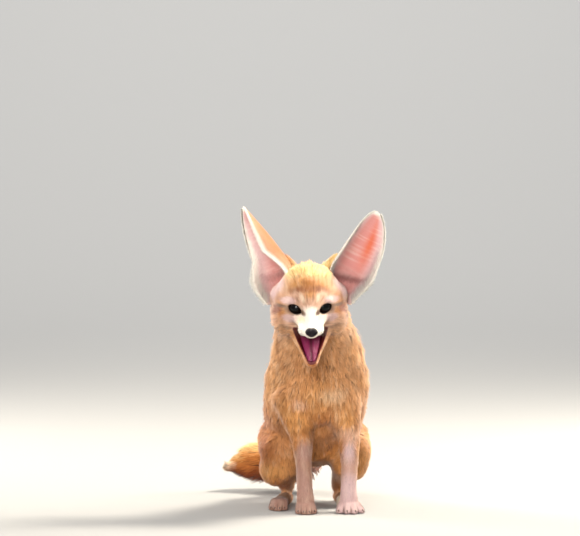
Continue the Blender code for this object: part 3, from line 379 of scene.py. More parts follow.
# Soft spots on the body: place, half sizes, colour, strength.
BODY_SPOTS = [
    (3, -48, 165, 28, 24, 20, RUST, 0.45),
    # The next two are painted shade that darkens the ridge of the right shoulder.
    (-46, -18, 126, 8, 20, 16, RUST, 0.4),
    (-34, -22, 104, 8, 20, 14, ORANGE, 0.6),
    (14, -20, 110, 14, 20, 12, ORANGE, 0.5),
    (28, -36, 140, 26, 24, 12, CREAM, 0.4),
    (-14, -34, 128, 13, 20, 9, PINKISH, 0.8),
    # The next two darken the right thigh: partly its own rust whorl, partly painted shade.
    (-58, 34, 70, 20, 24, 20, RUST, 0.6),
    (-44, 18, 62, 14, 20, 14, RUST, 0.35),
    # A painted highlight on the right flank.
    (-62, 26, 84, 5, 12, 9, WHITE, 0.6),
    (-38, 30, 30, 12, 16, 10, ORANGE, 0.5),
    (-9, 128, 76, 10, 16, 10, BROWN, 0.4),
]

# The dark whorls of the throat's fur.
WHORL_PLACE = (4, -48, 158)
WHORL_SIZES = (24, 24, 17)

# The coat: its pieces, the flesh nodes, and the regions and slots that they belong to.
FLOOR_GAP = 0.1 * MM
LONGEST_SHORT = 5.0 * MM
TUFTS_A_PIECE = {True: 19500, False: 48000}
FLESH = ("head", "jaw", "neck", "torso", "foreleg_left", "foreleg_right",
         "hindleg_left", "hindleg_right", "tail_base", "tail_tip")
REGION = {"jaw": "head", "tail_tip": "tail", "tail_base": "tail"}
REGION_SLOT = {"head": "coat_head", "neck": "coat_body", "torso": "coat_body", "tail": "coat_tail",
               "foreleg_left": "coat_pale", "foreleg_right": "coat_pale",
               "hindleg_left": "coat_body", "hindleg_right": "coat_body"}
# A tuft's corners in its unwrapped patch, and how far its normal moves it round.
TUFT_PATCH = np.array([(-1, -1), (1, -1), (0, -0.6), (-1, 0.3), (1, 0.3), (0, 0.4), (0, 1)]) * 0.0015
UNWRAP_LEAN = 0.0125
GUIDE_CHUNK = 20000
GUIDE_BLUR = 2 * MM
# How much darker the skin is than the coat on it.
SKIN_SHADE = 0.82
# A claw's stem, as (ahead, up).
CLAW_BEND = [(-1.5 * MM, 0.2 * MM), (0.8 * MM, 0.5 * MM), (2.6 * MM, 0.1 * MM), (4.4 * MM, -1.3 * MM)]

# The camera's distance, the point that it looks at and its rise.
CAMERA_DISTANCE = 6.0
CAMERA_AIM = Vector((-25, -45, 285)) * MM
CAMERA_RISE = math.radians(4)
CAMERA_WIDTH = 0.667
SENSOR_WIDTH = 36


def metres(rings):
    return [Ring(*(value * MM for value in ring)) for ring in rings]


def mirrored(vector, hand):
    return Vector((vector.x * hand, vector.y, vector.z))


def head_place():
    turn = Matrix.Rotation(HEAD_YAW, 4, "Z") @ Matrix.Rotation(HEAD_PITCH, 4, "X")
    return Matrix.Translation(HEAD_CENTRE) @ turn @ Matrix.Rotation(HEAD_ROLL, 4, "Y")


def box_middle(node):
    low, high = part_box(node)
    return (low + high) / 2


# From the design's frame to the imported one: the left eye's middle is known in both.
SHIFT = box_middle("eye_left") - head_place() @ EYE_PLACE


# Shapes

def frames_along(centres, side_hint):
    """The direction, side and over vectors at each centre of a tube."""
    frames = []
    last = len(centres) - 1
    for i in range(len(centres)):
        along = (centres[min(i + 1, last)] - centres[max(i - 1, 0)]).normalized()
        side = (side_hint - side_hint.dot(along) * along).normalized()
        frames.append((along, side, side.cross(along)))
    return frames


def section(ring, frame, sides, shift, scale):
    """The points round one ring, moved along the tube and scaled."""
    along, side, over = frame
    points = []
    for k in range(sides):
        turn = 2 * math.pi * k / sides
        rise = ring.over if math.sin(turn) > 0 else ring.under
        offset = side * math.cos(turn) * ring.side + over * math.sin(turn) * rise
        points.append(Vector(ring[:3]) + along * shift + offset * scale)
    return points


def skin_over(bm, sections):
    """A closed surface through sections of as many points each."""
    loops = [[bm.verts.new(point) for point in points] for points in sections]
    faces = []
    for first, second in zip(loops, loops[1:]):
        for k in range(len(first)):
            after = (k + 1) % len(first)
            faces.append(bm.faces.new((first[k], first[after], second[after], second[k])))
    faces.append(bm.faces.new(list(reversed(loops[0]))))
    faces.append(bm.faces.new(loops[-1]))
    bmesh.ops.recalc_face_normals(bm, faces=faces)


def tube(bm, rings, sides=24, dome=0.8, side_hint=ACROSS):
    """A closed tube through the rings, with a dome at each end."""
    frames = frames_along([Vector(ring[:3]) for ring in rings], side_hint)
    turns = [math.radians(degrees) for degrees in (75, 50, 25)]
    start, end = rings[0], rings[-1]
    start_reach = dome * min(start.side, (start.over + start.under) / 2)
    end_reach = dome * min(end.side, (end.over + end.under) / 2)
    sections = []
    for turn in turns:
        sections.append(section(start, frames[0], sides, -start_reach * math.sin(turn), math.cos(turn)))
    for ring, frame in zip(rings, frames):
        sections.append(section(ring, frame, sides, 0, 1))
    for turn in reversed(turns):
        sections.append(section(end, frames[-1], sides, end_reach * math.sin(turn), math.cos(turn)))
    skin_over(bm, sections)


def ball(bm, centre, radii, turn=Matrix()):
    place = Matrix.Translation(centre) @ turn @ Matrix.Diagonal((*radii, 1.0))
    bmesh.ops.create_icosphere(bm, subdivisions=3, radius=1.0, matrix=place)


def limb(bm, start, end, start_radius, end_radius, sides=16):
    """A round limb between two points, with round ends."""
    rings = [Ring(*start, *[start_radius] * 3), Ring(*end, *[end_radius] * 3)]
    hint = ACROSS if abs((end - start).normalized().x) < 0.8 else UP
    tube(bm, rings, sides=sides, dome=1.0, side_hint=hint)


# Objects and what is done to them

def linked(name, data):
    """A new object in the scene."""
    obj = bpy.data.objects.new(name, data)
    bpy.context.scene.collection.objects.link(obj)
    return obj


def object_of(bm, name, place=None):
    mesh = bpy.data.meshes.new(name)
    if place is not None:
        bmesh.ops.transform(bm, matrix=place, verts=bm.verts)
    bm.to_mesh(mesh)
    bm.free()
    return linked(name, mesh)


def discard(*objects):
    for obj in objects:
        bpy.data.objects.remove(obj, do_unlink=True)


def apply_modifiers(obj):
    graph = bpy.context.evaluated_depsgraph_get()
    old = obj.data
    obj.data = bpy.data.meshes.new_from_object(obj.evaluated_get(graph))
    obj.modifiers.clear()
    bpy.data.meshes.remove(old)


def fuse(obj):
    """Turns overlapping closed shapes into one skin."""
    remesh = obj.modifiers.new("Fuse", "REMESH")
    remesh.mode = "VOXEL"
    remesh.voxel_size = VOXEL
    apply_modifiers(obj)


def boolean(obj, other, operation, solver="EXACT"):
    """Applies one Boolean and removes the other object."""
    modifier = obj.modifiers.new(operation.title(), "BOOLEAN")
    modifier.operation = operation
    modifier.solver = solver
    modifier.object = other
    apply_modifiers(obj)
    discard(other)


def rows_of(items, field, width, kind=np.float32):
    """A field of a mesh's items, in rows of width values."""
    flat = np.empty(len(items) * width, kind)
    items.foreach_get(field, flat)
    return flat.reshape(-1, width)


def places_of(mesh):
    return rows_of(mesh.vertices, "co", 3).astype(float)


def set_places(mesh, points):
    mesh.vertices.foreach_set("co", points.astype(np.float32).ravel())
    mesh.update()


def normals_of(mesh):
    return rows_of(mesh.vertex_normals, "vector", 3).astype(float)


def triangles_of(mesh):
    mesh.calc_loop_triangles()
    return rows_of(mesh.loop_triangles, "vertices", 3, np.int32)


def relax(obj, rounds):
    """Smooths each vertex as many times as its entry in rounds says."""
    points = places_of(obj.data)
    first, second = rows_of(obj.data.edges, "vertices", 2, np.int32).T
    ends, others = np.concatenate([first, second]), np.concatenate([second, first])
    count = np.maximum(np.bincount(ends, minlength=len(points)), 1)
    for done in range(int(rounds.max())):
        sums = [np.bincount(ends, weights=points[others, k], minlength=len(points)) for k in range(3)]
        mean = np.stack(sums, axis=1) / count[:, None]
        moving = rounds > done
        points[moving] += 0.5 * (mean[moving] - points[moving])
    set_places(obj.data, points)


def unit(vectors):
    return vectors / np.maximum(np.linalg.norm(vectors, axis=-1, keepdims=True), 1e-12)


def ramp(values, low, high):
    """0 below low, 1 above high, and smooth between."""
    share = np.clip((values - low) / (high - low), 0, 1)
    return share * share * (3 - 2 * share)


def linear(colour):
    """A screen colour as light."""
    return np.asarray(colour, float) ** 2.2


# The coat's guides

def all_guides():
    """Places, lies, lengths, heights and colours of every guide, in the design's frame."""
    place = head_place()
    turn = place.to_3x3()
    rows = []
    for x, y, z, a, b, c, length, height, colour in HEAD_GUIDES:
        for hand in (LEFT, RIGHT) if x else (LEFT,):
            at = place @ (Vector((x * hand, y, z)) * MM)
            lie = turn @ Vector((a * hand, b, c)).normalized()
            rows.append((*at, *lie, length, height, *linear(colour)))
    for x, y, z, a, b, c, length, height, colour in BODY_GUIDES:
        lie = Vector((a, b, c)).normalized()
        rows.append((x * MM, y * MM, z * MM, *lie, length, height, *linear(colour)))
    return np.array(rows)


GUIDES = all_guides()
HEAD_TURN = np.array(head_place().to_3x3())
HEAD_MIDDLE = np.array(HEAD_CENTRE)


def in_head(points):
    """The points in the head's own frame."""
    return (points - HEAD_MIDDLE) @ HEAD_TURN


def guided(points):
    """The guides' lie, length, height and colour blended at each point."""
    blended = np.empty((len(points), 8))
    for start in range(0, len(points), GUIDE_CHUNK):
        part = points[start:start + GUIDE_CHUNK]
        away = np.linalg.norm(part[:, None, :] - GUIDES[None, :, :3], axis=2) + GUIDE_BLUR
        weight = away ** -4.0
        weight /= weight.sum(axis=1, keepdims=True)
        blended[start:start + GUIDE_CHUNK] = weight @ GUIDES[:, 3:]
    return blended[:, :3], blended[:, 3] * MM, blended[:, 4] * MM, blended[:, 5:]


def tail_places(points):
    """Each point's place along the tail in rings, how far off it lies, and the tail's way there."""
    centres = np.array(TAIL_CENTRES) * MM
    best = np.full(len(points), np.inf)
    place = np.zeros(len(points))
    way = np.zeros((len(points), 3))
    for i in range(len(centres) - 1):
        step = centres[i + 1] - centres[i]
        share = np.clip((points - centres[i]) @ step / (step @ step), 0, 1)
        away = np.linalg.norm(points - centres[i] - share[:, None] * step, axis=1)
        near = away < best
        best[near] = away[near]
        place[near] = i + share[near]
        way[near] = step / np.linalg.norm(step)
    return place, best, way


def tail_radius(place):
    return np.interp(place, range(len(TAIL_RADII)), TAIL_RADII) * MM


def tail_slim(place):
    """The skin's share of the tail's outer radius."""
    return 1 - (1 - TAIL_CORE) * np.minimum(1.0, place / TAIL_SLIM_BY)


def tail_share(points):
    """1 on the tail, and 0 elsewhere."""
    place, away, way = tail_places(points)
    return ramp(place, 0.15, 0.9) * (away < 1.4 * tail_radius(place))


def value_noise(points, cell):
    """A smooth noise from -1 to 1 whose grains have the cell's sizes."""
    spot = points / np.asarray(cell, float)
    base = np.floor(spot)
    share = spot - base
    share = share * share * (3 - 2 * share)
    total = np.zeros(len(points))
    for corner in np.ndindex(2, 2, 2):
        weight = np.prod(np.where(corner, share, 1 - share), axis=1)
        hashed = np.sin((base + corner) @ (12.9898, 78.233, 37.719)) * 43758.5453
        total += weight * (hashed - np.floor(hashed))
    return total * 2 - 1


def toe_shade_lines():
    """The lines between neighbouring toes, where painted shade goes."""
    lines = []
    for paw in (*FOREPAW.values(), *HINDPAW.values()):
        toes = toe_places(paw)
        for (tip, knuckle), (next_tip, next_knuckle) in zip(toes, toes[1:]):
            front = (tip + next_tip) / 2 + (paw.toe - paw.root).normalized() * TOE_RADIUS
            lines.append((np.array(front), np.array((knuckle + next_knuckle) / 2)))
    return lines


def marked(points, colours):
    """The spots painted over the guides' colours, with painted shade between the toes and painted light and
    shade on the body and the tail.
    """
    local = in_head(points) / MM
    across = np.abs(local[:, 0])
    up = local[:, 2] * math.cos(FACE_SLOPE) + local[:, 1] * math.sin(FACE_SLOPE)
    front = 1 - ramp(local[:, 1], -6, 6)
    colours = colours.copy()
    for u, v, wide, high, tilt, colour, strength in FACE_SPOTS:
        turn = math.radians(tilt)
        a = (across - u) * math.cos(turn) + (up - v) * math.sin(turn)
        b = (up - v) * math.cos(turn) - (across - u) * math.sin(turn)
        weight = strength * front * (1 - ramp(np.hypot(a / wide, b / high), 0.55, 1.25))
        colours += weight[:, None] * (linear(colour) - colours)
    for x, y, z, rx, ry, rz, colour, strength in BODY_SPOTS:
        away = np.linalg.norm((points / MM - (x, y, z)) / (rx, ry, rz), axis=1)
        weight = strength * (1 - ramp(away, 0.4, 1.3))
        colours += weight[:, None] * (linear(colour) - colours)
    face = 1 - ramp(local[:, 1], 0, 25)
    streaks = value_noise(local, (1.5, 9, 9)) * face + value_noise(points / MM, (5, 7, 11)) * (1 - face)
    streaks += 0.5 * value_noise(points / MM, (2.2, 3, 5))
    calm = ramp(points[:, 2], 60 * MM, 110 * MM) * (1 - ramp(colours.min(axis=1), 0.3, 0.6))
    whorl = 1 - ramp(np.linalg.norm((points / MM - WHORL_PLACE) / WHORL_SIZES, axis=1), 0.3, 1.2)
    amount = np.clip(streaks, 0, 1)[:, None] * (0.12 + 0.45 * calm + 1.1 * whorl)[:, None]
    colours += amount * (colours * linear((0.72, 0.62, 0.52)) - colours)
    colours += 0.18 * np.clip(-streaks, 0, 1)[:, None] * (linear(CREAM) - colours)
    # Painted shade in the creases between the toes.
    for tip, knuckle in toe_shade_lines():
        reach = np.clip(((points - tip) @ (knuckle - tip)) / ((knuckle - tip) @ (knuckle - tip)), 0, 1)
        away = np.linalg.norm(((points - tip) - reach[:, None] * (knuckle - tip)) * (1, 1, 0.2), axis=1)
        low = 0.75 * (1 - ramp(away, 0.4 * MM, 1.5 * MM)) * (1 - ramp(points[:, 2], 12 * MM, 18 * MM))
        colours += low[:, None] * (linear(BROWN) - colours)
    place, away, way = tail_places(points)
    tail = tail_share(points)
    centre_z = np.interp(place, range(len(TAIL_CENTRES)), [c[2] for c in TAIL_CENTRES]) * MM
    # The tail is lighter on top and darker underneath, with a pale crest and a cream top at its tip:
    # painted light and painted shade.
    top = ramp(points[:, 2] - centre_z, -8 * MM, 5 * MM)[:, None]
    sunlit_crest = ramp(points[:, 2] - centre_z, 3 * MM, 12 * MM)[:, None]
    coat = linear(RUST) + top * (linear(ORANGE) - linear(RUST))
    coat = coat + 0.7 * sunlit_crest * (linear(GOLD_AND_SUNLIGHT) - coat)
    tip = ramp(place, 5.6, 7.2)[:, None]
    coat = coat + tip * (linear(RUST) + top * (linear(CREAM) - linear(RUST)) - coat)
    return colours + tail[:, None] * (coat - colours)


# The skin

def add_trunk(bm):
    tube(bm, metres(TRUNK), sides=32)
    ball(bm, BREAST_CENTRE, BREAST_RADII)


def add_head(bm):
    head = bmesh.new()
    tube(head, metres(SKULL), sides=32, dome=0.55)
    tube(head, metres(JAW), sides=24, dome=0.7)
    for hand in (LEFT, RIGHT):
        ball(head, mirrored(CHEEK_CENTRE, hand), CHEEK_RADII)
        ball(head, mirrored(BROW_CENTRE, hand), BROW_RADII)
        ball(head, mirrored(EAR_ROOT_CENTRE, hand), EAR_ROOT_RADII)
        ball(head, mirrored(WHISKER_PAD_CENTRE, hand), WHISKER_PAD_RADII)
    bmesh.ops.transform(head, matrix=head_place(), verts=head.verts)
    mesh = bpy.data.meshes.new("head_forms")
    head.to_mesh(mesh)
    head.free()
    bm.from_mesh(mesh)
    bpy.data.meshes.remove(mesh)
    for low, high in EAR_FOOT.values():
        limb(bm, low, high, *EAR_FOOT_RADII)


def toe_places(paw):
    """The tip and knuckle of each toe."""
    ahead = (paw.toe - paw.root).normalized()
    aside = ahead.cross(UP)
    places = []
    for offset, setback in zip(TOE_OFFSETS, TOE_SETBACKS):
        lean = aside * offset * paw.half_width
        tip = paw.toe - ahead * (setback + TOE_RADIUS) + lean * paw.spread
        knuckle = paw.toe - ahead * (setback + TOE_LENGTH) + lean * (0.3 + 0.45 * paw.spread)
        tip.z = TOE_RADIUS - FLAT_SINK
        knuckle.z = TOE_RADIUS * 1.9
        places.append((tip, knuckle))
    return places


def add_paw(bm, paw, palm_length):
    """The palm and the four toes."""
    ahead = (paw.toe - paw.root).normalized()
    for tip, knuckle in toe_places(paw):
        limb(bm, tip, knuckle, TOE_RADIUS, TOE_RADIUS * 1.15, sides=12)
    palm = paw.toe - ahead * (TOE_LENGTH + palm_length / 2)
    palm.z = PALM_HEIGHT - FLAT_SINK
    turn = Matrix.Rotation(math.atan2(ahead.x, -ahead.y), 4, "Z")
    ball(bm, palm, (paw.half_width * 1.02, palm_length * 0.8, PALM_HEIGHT), turn)


def add_hind_foot(bm, paw):
    """The long sole from the heel to the palm."""
    add_paw(bm, paw, 20 * MM)
    heel = paw.root + UP * (FOOT_RADIUS - FLAT_SINK)
    palm = paw.toe.lerp(paw.root, 0.3) + UP * (FOOT_RADIUS - FLAT_SINK)
    limb(bm, heel, palm, FOOT_RADIUS, FOOT_RADIUS)


def add_legs(bm):
    for hand in (LEFT, RIGHT):
        tube(bm, metres(FORELEG[hand]), sides=20, dome=0.6)
        add_paw(bm, FOREPAW[hand], 15 * MM)
        tube(bm, metres(THIGH[hand]), sides=24, dome=0.9)
        tube(bm, metres(SHIN[hand]), sides=20)
        ball(bm, HAUNCH_CENTRE[hand], HAUNCH_RADII)
        add_hind_foot(bm, HINDPAW[hand])


def tail_rings():
    rings = []
    for i, (centre, radius) in enumerate(zip(TAIL_CENTRES, TAIL_RADII)):
        slim = radius * tail_slim(i)
        rings.append(Ring(*centre, slim, slim, slim))
    return rings[:TAIL_FLESH_RINGS]


def smoothing_at(points):
    """Few rounds on the paws and the face, many where the coat runs smoothly."""
    rounds = np.full(len(points), 36)
    shoulders = (points[:, 1] < 20 * MM) & (points[:, 2] > 84 * MM) & (points[:, 2] < 150 * MM)
    rounds[shoulders] = 90
    rounds[(points[:, 1] < -50 * MM) & (points[:, 2] > 150 * MM)] = 14
    rounds[(points[:, 1] < -80 * MM) & (points[:, 2] > 150 * MM)] = 4
    rounds[points[:, 2] < 42 * MM] = 10
    rounds[points[:, 2] < 20 * MM] = 4
    return rounds


def mouth_cutter():
    """The space between the lips, thin at the corners, with the palate's arch and the bed of the tongue."""
    bm = bmesh.new()
    across = np.linspace(-1, 1, 33)
    sections = []
    for y in np.linspace(-9, -80, 40):
        top, lip, wide, narrow = mouth_section(y)
        side = across * wide
        roof, floor = mouth_heights(side, top, lip, wide, narrow)
        upper = [Vector((x, y, z + 0.1)) * MM for x, z in zip(side, roof)]
        lower = [Vector((x, y, z - 0.1)) * MM for x, z in zip(side, floor)]
        sections.append(upper + lower[::-1])
    skin_over(bm, sections)
    bmesh.ops.triangulate(bm, faces=bm.faces)
    wedge = object_of(bm, "mouth", head_place())
    for rings in (MOUTH_ROOF, MOUTH_BED):
        bm = bmesh.new()
        tube(bm, metres(rings), sides=16)
        boolean(wedge, object_of(bm, "hollow", head_place()), "UNION")
    return wedge


def eye_place(hand):
    """Where an eyeball sits, looking along its own -Y."""
    gaze = mirrored(EYE_GAZE, hand).normalized()
    turn = (-gaze).to_track_quat("Y", "Z").to_matrix().to_4x4()
    return head_place() @ Matrix.Translation(mirrored(EYE_PLACE, hand)) @ turn


def lid_place(hand):
    return eye_place(hand) @ Matrix.Rotation(-LID_TILT * hand, 4, "Y")


def almond(steps, grow=0.0):
    """The outline of an eye's opening, as (across, up)."""
    outline = []
    for k in range(steps):
        turn = 2 * math.pi * k / steps
        rise = math.copysign(abs(math.sin(turn)) ** 1.15, math.sin(turn))
        outline.append((math.cos(turn) * (LID_HALF_LENGTH + grow), rise * (LID_HALF_HEIGHT + grow)))
    return outline


def lid_opening(hand):
    """An almond, cut forwards from the middle of the eye."""
    bm = bmesh.new()
    outline = [Vector((across, 0, up)) for across, up in almond(40)]
    near = [bm.verts.new(point) for point in outline]
    far = [bm.verts.new(point * 1.25 - Vector((0, 3 * EYE_RADIUS, 0))) for point in outline]
    faces = [bm.faces.new(near), bm.faces.new(list(reversed(far)))]
    for k in range(len(outline)):
        after = (k + 1) % len(outline)
        faces.append(bm.faces.new((near[after], near[k], far[k], far[after])))
    bmesh.ops.recalc_face_normals(bm, faces=faces)
    return object_of(bm, "lid_opening", lid_place(hand))


def socket(hand):
    bm = bmesh.new()
    bmesh.ops.create_icosphere(bm, subdivisions=4, radius=EYE_RADIUS + 0.15 * MM)
    return object_of(bm, "socket", eye_place(hand))


def mouth_section(ahead):
    """The roof, lip, half width of the roof and half width of the floor at places along the mouth."""
    return (np.interp(-ahead, [-row[0] for row in rows], [row[1] for row in rows])
            for rows in (MOUTH_TOP, MOUTH_LIP, MOUTH_WIDE, MOUTH_NARROW))


def mouth_heights(side, top, lip, wide, narrow):
    """The roof and the floor of the mouth's wedge at places across it."""
    roof = top + MOUTH_SMILE * (side / wide) ** 2
    share = np.clip((np.abs(side) - narrow) / (wide - narrow), 0, 1)
    return roof, lip + (top + MOUTH_SMILE - lip) * share


def hollow_depth(points, rings):
    """How far in millimetres points lie inside a tube about the head's middle plane."""
    y = points[:, 1]
    order = sorted(rings, key=lambda ring: ring.y)
    spots = [ring.y for ring in order]
    z, side, above, below = (np.interp(y, spots, [ring[k] for ring in order]) for k in (2, 3, 4, 5))
    rise = points[:, 2] - z
    away = np.hypot(points[:, 0] / side, rise / np.where(rise > 0, above, below))
    inside = (y > order[0].y) & (y < order[-1].y)
    return np.where(inside, (1 - away) * np.minimum(above, below), -9.0)


def in_mouth(points, normals):
    """How much each point faces the hollow of the mouth: 1 inside, 0 from the lips outwards."""
    local = in_head(points) / MM
    around = (local[:, 1] < 14) & (local[:, 2] < 0) & (local[:, 2] > -62) & (np.abs(local[:, 0]) < 32)
    share = np.zeros(len(points))
    for look in MOUTH_LOOKS:
        ahead = in_head(points + normals * look) / MM
        top, lip, wide, narrow = mouth_section(ahead[:, 1])
        roof, floor = mouth_heights(ahead[:, 0], top, lip, wide, narrow)
        depth = np.minimum(roof - ahead[:, 2], ahead[:, 2] - floor)
        depth = np.minimum(depth, np.minimum(wide - np.abs(ahead[:, 0]), -9 - ahead[:, 1]))
        depth = np.maximum(depth, hollow_depth(ahead, MOUTH_ROOF))
        depth = np.maximum(depth, hollow_depth(ahead, MOUTH_BED))
        share = np.maximum(share, np.clip(0.5 + depth / 0.8, 0, 1))
    return share * around


def skin_heights(points):
    """How deep the skin lies under the coat's outer face."""
    height = guided(points)[2]
    return height * (1 - tail_share(points))


def whole_skin():
    """The skin in the design's frame, and how much of each vertex lies in the mouth."""
    bm = bmesh.new()
    add_trunk(bm)
    add_head(bm)
    add_legs(bm)
    tube(bm, metres(tail_rings()), sides=32, side_hint=UP)
    skin = object_of(bm, "skin")
    fuse(skin)
    relax(skin, smoothing_at(places_of(skin.data)))
    boolean(skin, mouth_cutter(), "DIFFERENCE")
    fuse(skin)
    relax(skin, np.full(len(skin.data.vertices), 2))
    points, normals = places_of(skin.data), normals_of(skin.data)
    points -= normals * (skin_heights(points) * (1 - in_mouth(points, normals)))[:, None]
    points[:, 2] = np.maximum(points[:, 2], 0.3 * MM)
    set_places(skin.data, points)
    relax(skin, np.full(len(skin.data.vertices), 1))
    for hand in (LEFT, RIGHT):
        boolean(skin, socket(hand), "DIFFERENCE", "MANIFOLD")
        boolean(skin, lid_opening(hand), "DIFFERENCE", "MANIFOLD")
    return skin, in_mouth(places_of(skin.data), normals_of(skin.data))


# Materials

def noise_factor(nodes, links, scale, low, high):
    """A grey noise from low to high."""
    noise = nodes.new("ShaderNodeTexNoise")
    noise.inputs["Scale"].default_value = scale
    noise.inputs["Detail"].default_value = 4.0
    spread = nodes.new("ShaderNodeMapRange")
    spread.inputs["From Min"].default_value = 0.3
    spread.inputs["From Max"].default_value = 0.7
    spread.inputs["To Min"].default_value = low
    spread.inputs["To Max"].default_value = high
    links.new(noise.outputs["Fac"], spread.inputs["Value"])
    return spread.outputs["Result"]


def material(name, roughness, mottling=0.12, scale=900.0, bump=0.0, **settings):
    """A finish whose colour is the mesh's markings under a fine mottling."""
    made = bpy.data.materials.new(name)
    made.use_nodes = True
    nodes, links = made.node_tree.nodes, made.node_tree.links
    shader = nodes["Principled BSDF"]
    markings = nodes.new("ShaderNodeAttribute")
    markings.attribute_name = "Markings"
    mix = nodes.new("ShaderNodeVectorMath")
    mix.operation = "SCALE"
    grey = noise_factor(nodes, links, scale, 1 - mottling, 1 + mottling)
    links.new(markings.outputs["Color"], mix.inputs[0])
    links.new(grey, mix.inputs["Scale"])
    links.new(mix.outputs["Vector"], shader.inputs["Base Color"])
    rough = noise_factor(nodes, links, scale * 0.6, max(roughness - 0.08, 0.02), min(roughness + 0.08, 1.0))
    links.new(rough, shader.inputs["Roughness"])
    if bump:
        ridges = nodes.new("ShaderNodeBump")
        ridges.inputs["Strength"].default_value = bump
        ridges.inputs["Distance"].default_value = 0.3 * MM
        links.new(noise_factor(nodes, links, scale * 1.4, 0.0, 1.0), ridges.inputs["Height"])
        links.new(ridges.outputs["Normal"], shader.inputs["Normal"])
    for socket_name, value in settings.items():
        shader.inputs[socket_name.replace("_", " ")].default_value = value
    return made


def paint(obj, colours):
    """Gives each vertex its colour, or all of them the same one."""
    layer = obj.data.color_attributes.new("Markings", "FLOAT_COLOR", "POINT")
    rgba = np.ones((len(obj.data.vertices), 4), np.float32)
    rgba[:, :3] = colours
    layer.data.foreach_set("color", rgba.ravel())


def settle(obj, finish, slot, *nodes):
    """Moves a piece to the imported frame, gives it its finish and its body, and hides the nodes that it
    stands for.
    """
    obj.data.transform(Matrix.Translation(SHIFT))
    obj.data.materials.clear()
    obj.data.materials.append(finish)
    obj.data.shade_smooth()
    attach(obj, "root")
    if nodes:
        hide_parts(*nodes)
    return obj


# Tufts

SHORT_FACES = np.array([(0, 1, 2), (1, 0, 3), (2, 1, 3), (0, 2, 3)])
LONG_FACES = np.array([(0, 1, 2),
                       (1, 0, 3), (1, 3, 4), (4, 3, 6),
                       (2, 1, 4), (2, 4, 5), (5, 4, 6),
                       (0, 2, 5), (0, 5, 3), (3, 5, 6)])
Tufts = namedtuple("Tufts", "roots normals lies lengths heights widths colours unwrap")


def pick(tufts, chosen):
    return Tufts(*(field[chosen] for field in tufts))


def joined(groups):
    return Tufts(*(np.concatenate(fields) for fields in zip(*groups)))


def roots_on(mesh, density_at, skip):
    """Random points on a mesh, so many to a square millimetre, clear of the vertices that skip marks."""
    points, normals, triangles = places_of(mesh), normals_of(mesh), triangles_of(mesh)
    corners = points[triangles]
    one_side, next_side = corners[:, 1] - corners[:, 0], corners[:, 2] - corners[:, 0]
    area = np.linalg.norm(np.cross(one_side, next_side), axis=1) / 2
    expected = area / MM ** 2 * density_at(corners.mean(axis=1)) * (skip[triangles].max(axis=1) < 0.5)
    which = np.repeat(np.arange(len(triangles)), (expected + draw.random(len(triangles))).astype(int))
    first, second = np.sqrt(draw.random(len(which))), draw.random(len(which))
    weights = np.stack([1 - first, first * (1 - second), first * second], axis=1)[:, :, None]
    return (corners[which] * weights).sum(axis=1), unit((normals[triangles[which]] * weights).sum(axis=1))


def clumped(tufts, spacing, pull):
    """Draws the tips of near tufts together, and tints each clump."""
    count = max(8, int(len(tufts.roots) * spacing))
    chosen = draw.choice(len(tufts.roots), count, replace=False)
    tree = KDTree(count)
    for i, root in enumerate(tufts.roots[chosen]):
        tree.insert(root, i)
    tree.balance()
    nearest = np.array([tree.find(root)[1] for root in tufts.roots])
    centre = chosen[nearest]
    ahead = tufts.roots[centre] + tufts.lies[centre] * tufts.lengths[:, None] * 1.1
    towards = ahead - tufts.roots
    towards -= (towards * tufts.normals).sum(axis=1, keepdims=True) * tufts.normals
    lies = unit(tufts.lies * (1 - pull) + unit(towards) * pull)
    tint = draw.normal(1.0, 0.07, count)[nearest][:, None]
    rise = np.clip(draw.normal(1.0, 0.18, count)[nearest], 0.6, 1.4)
    return tufts._replace(lies=lies, colours=tufts.colours * tint, heights=tufts.heights * rise)


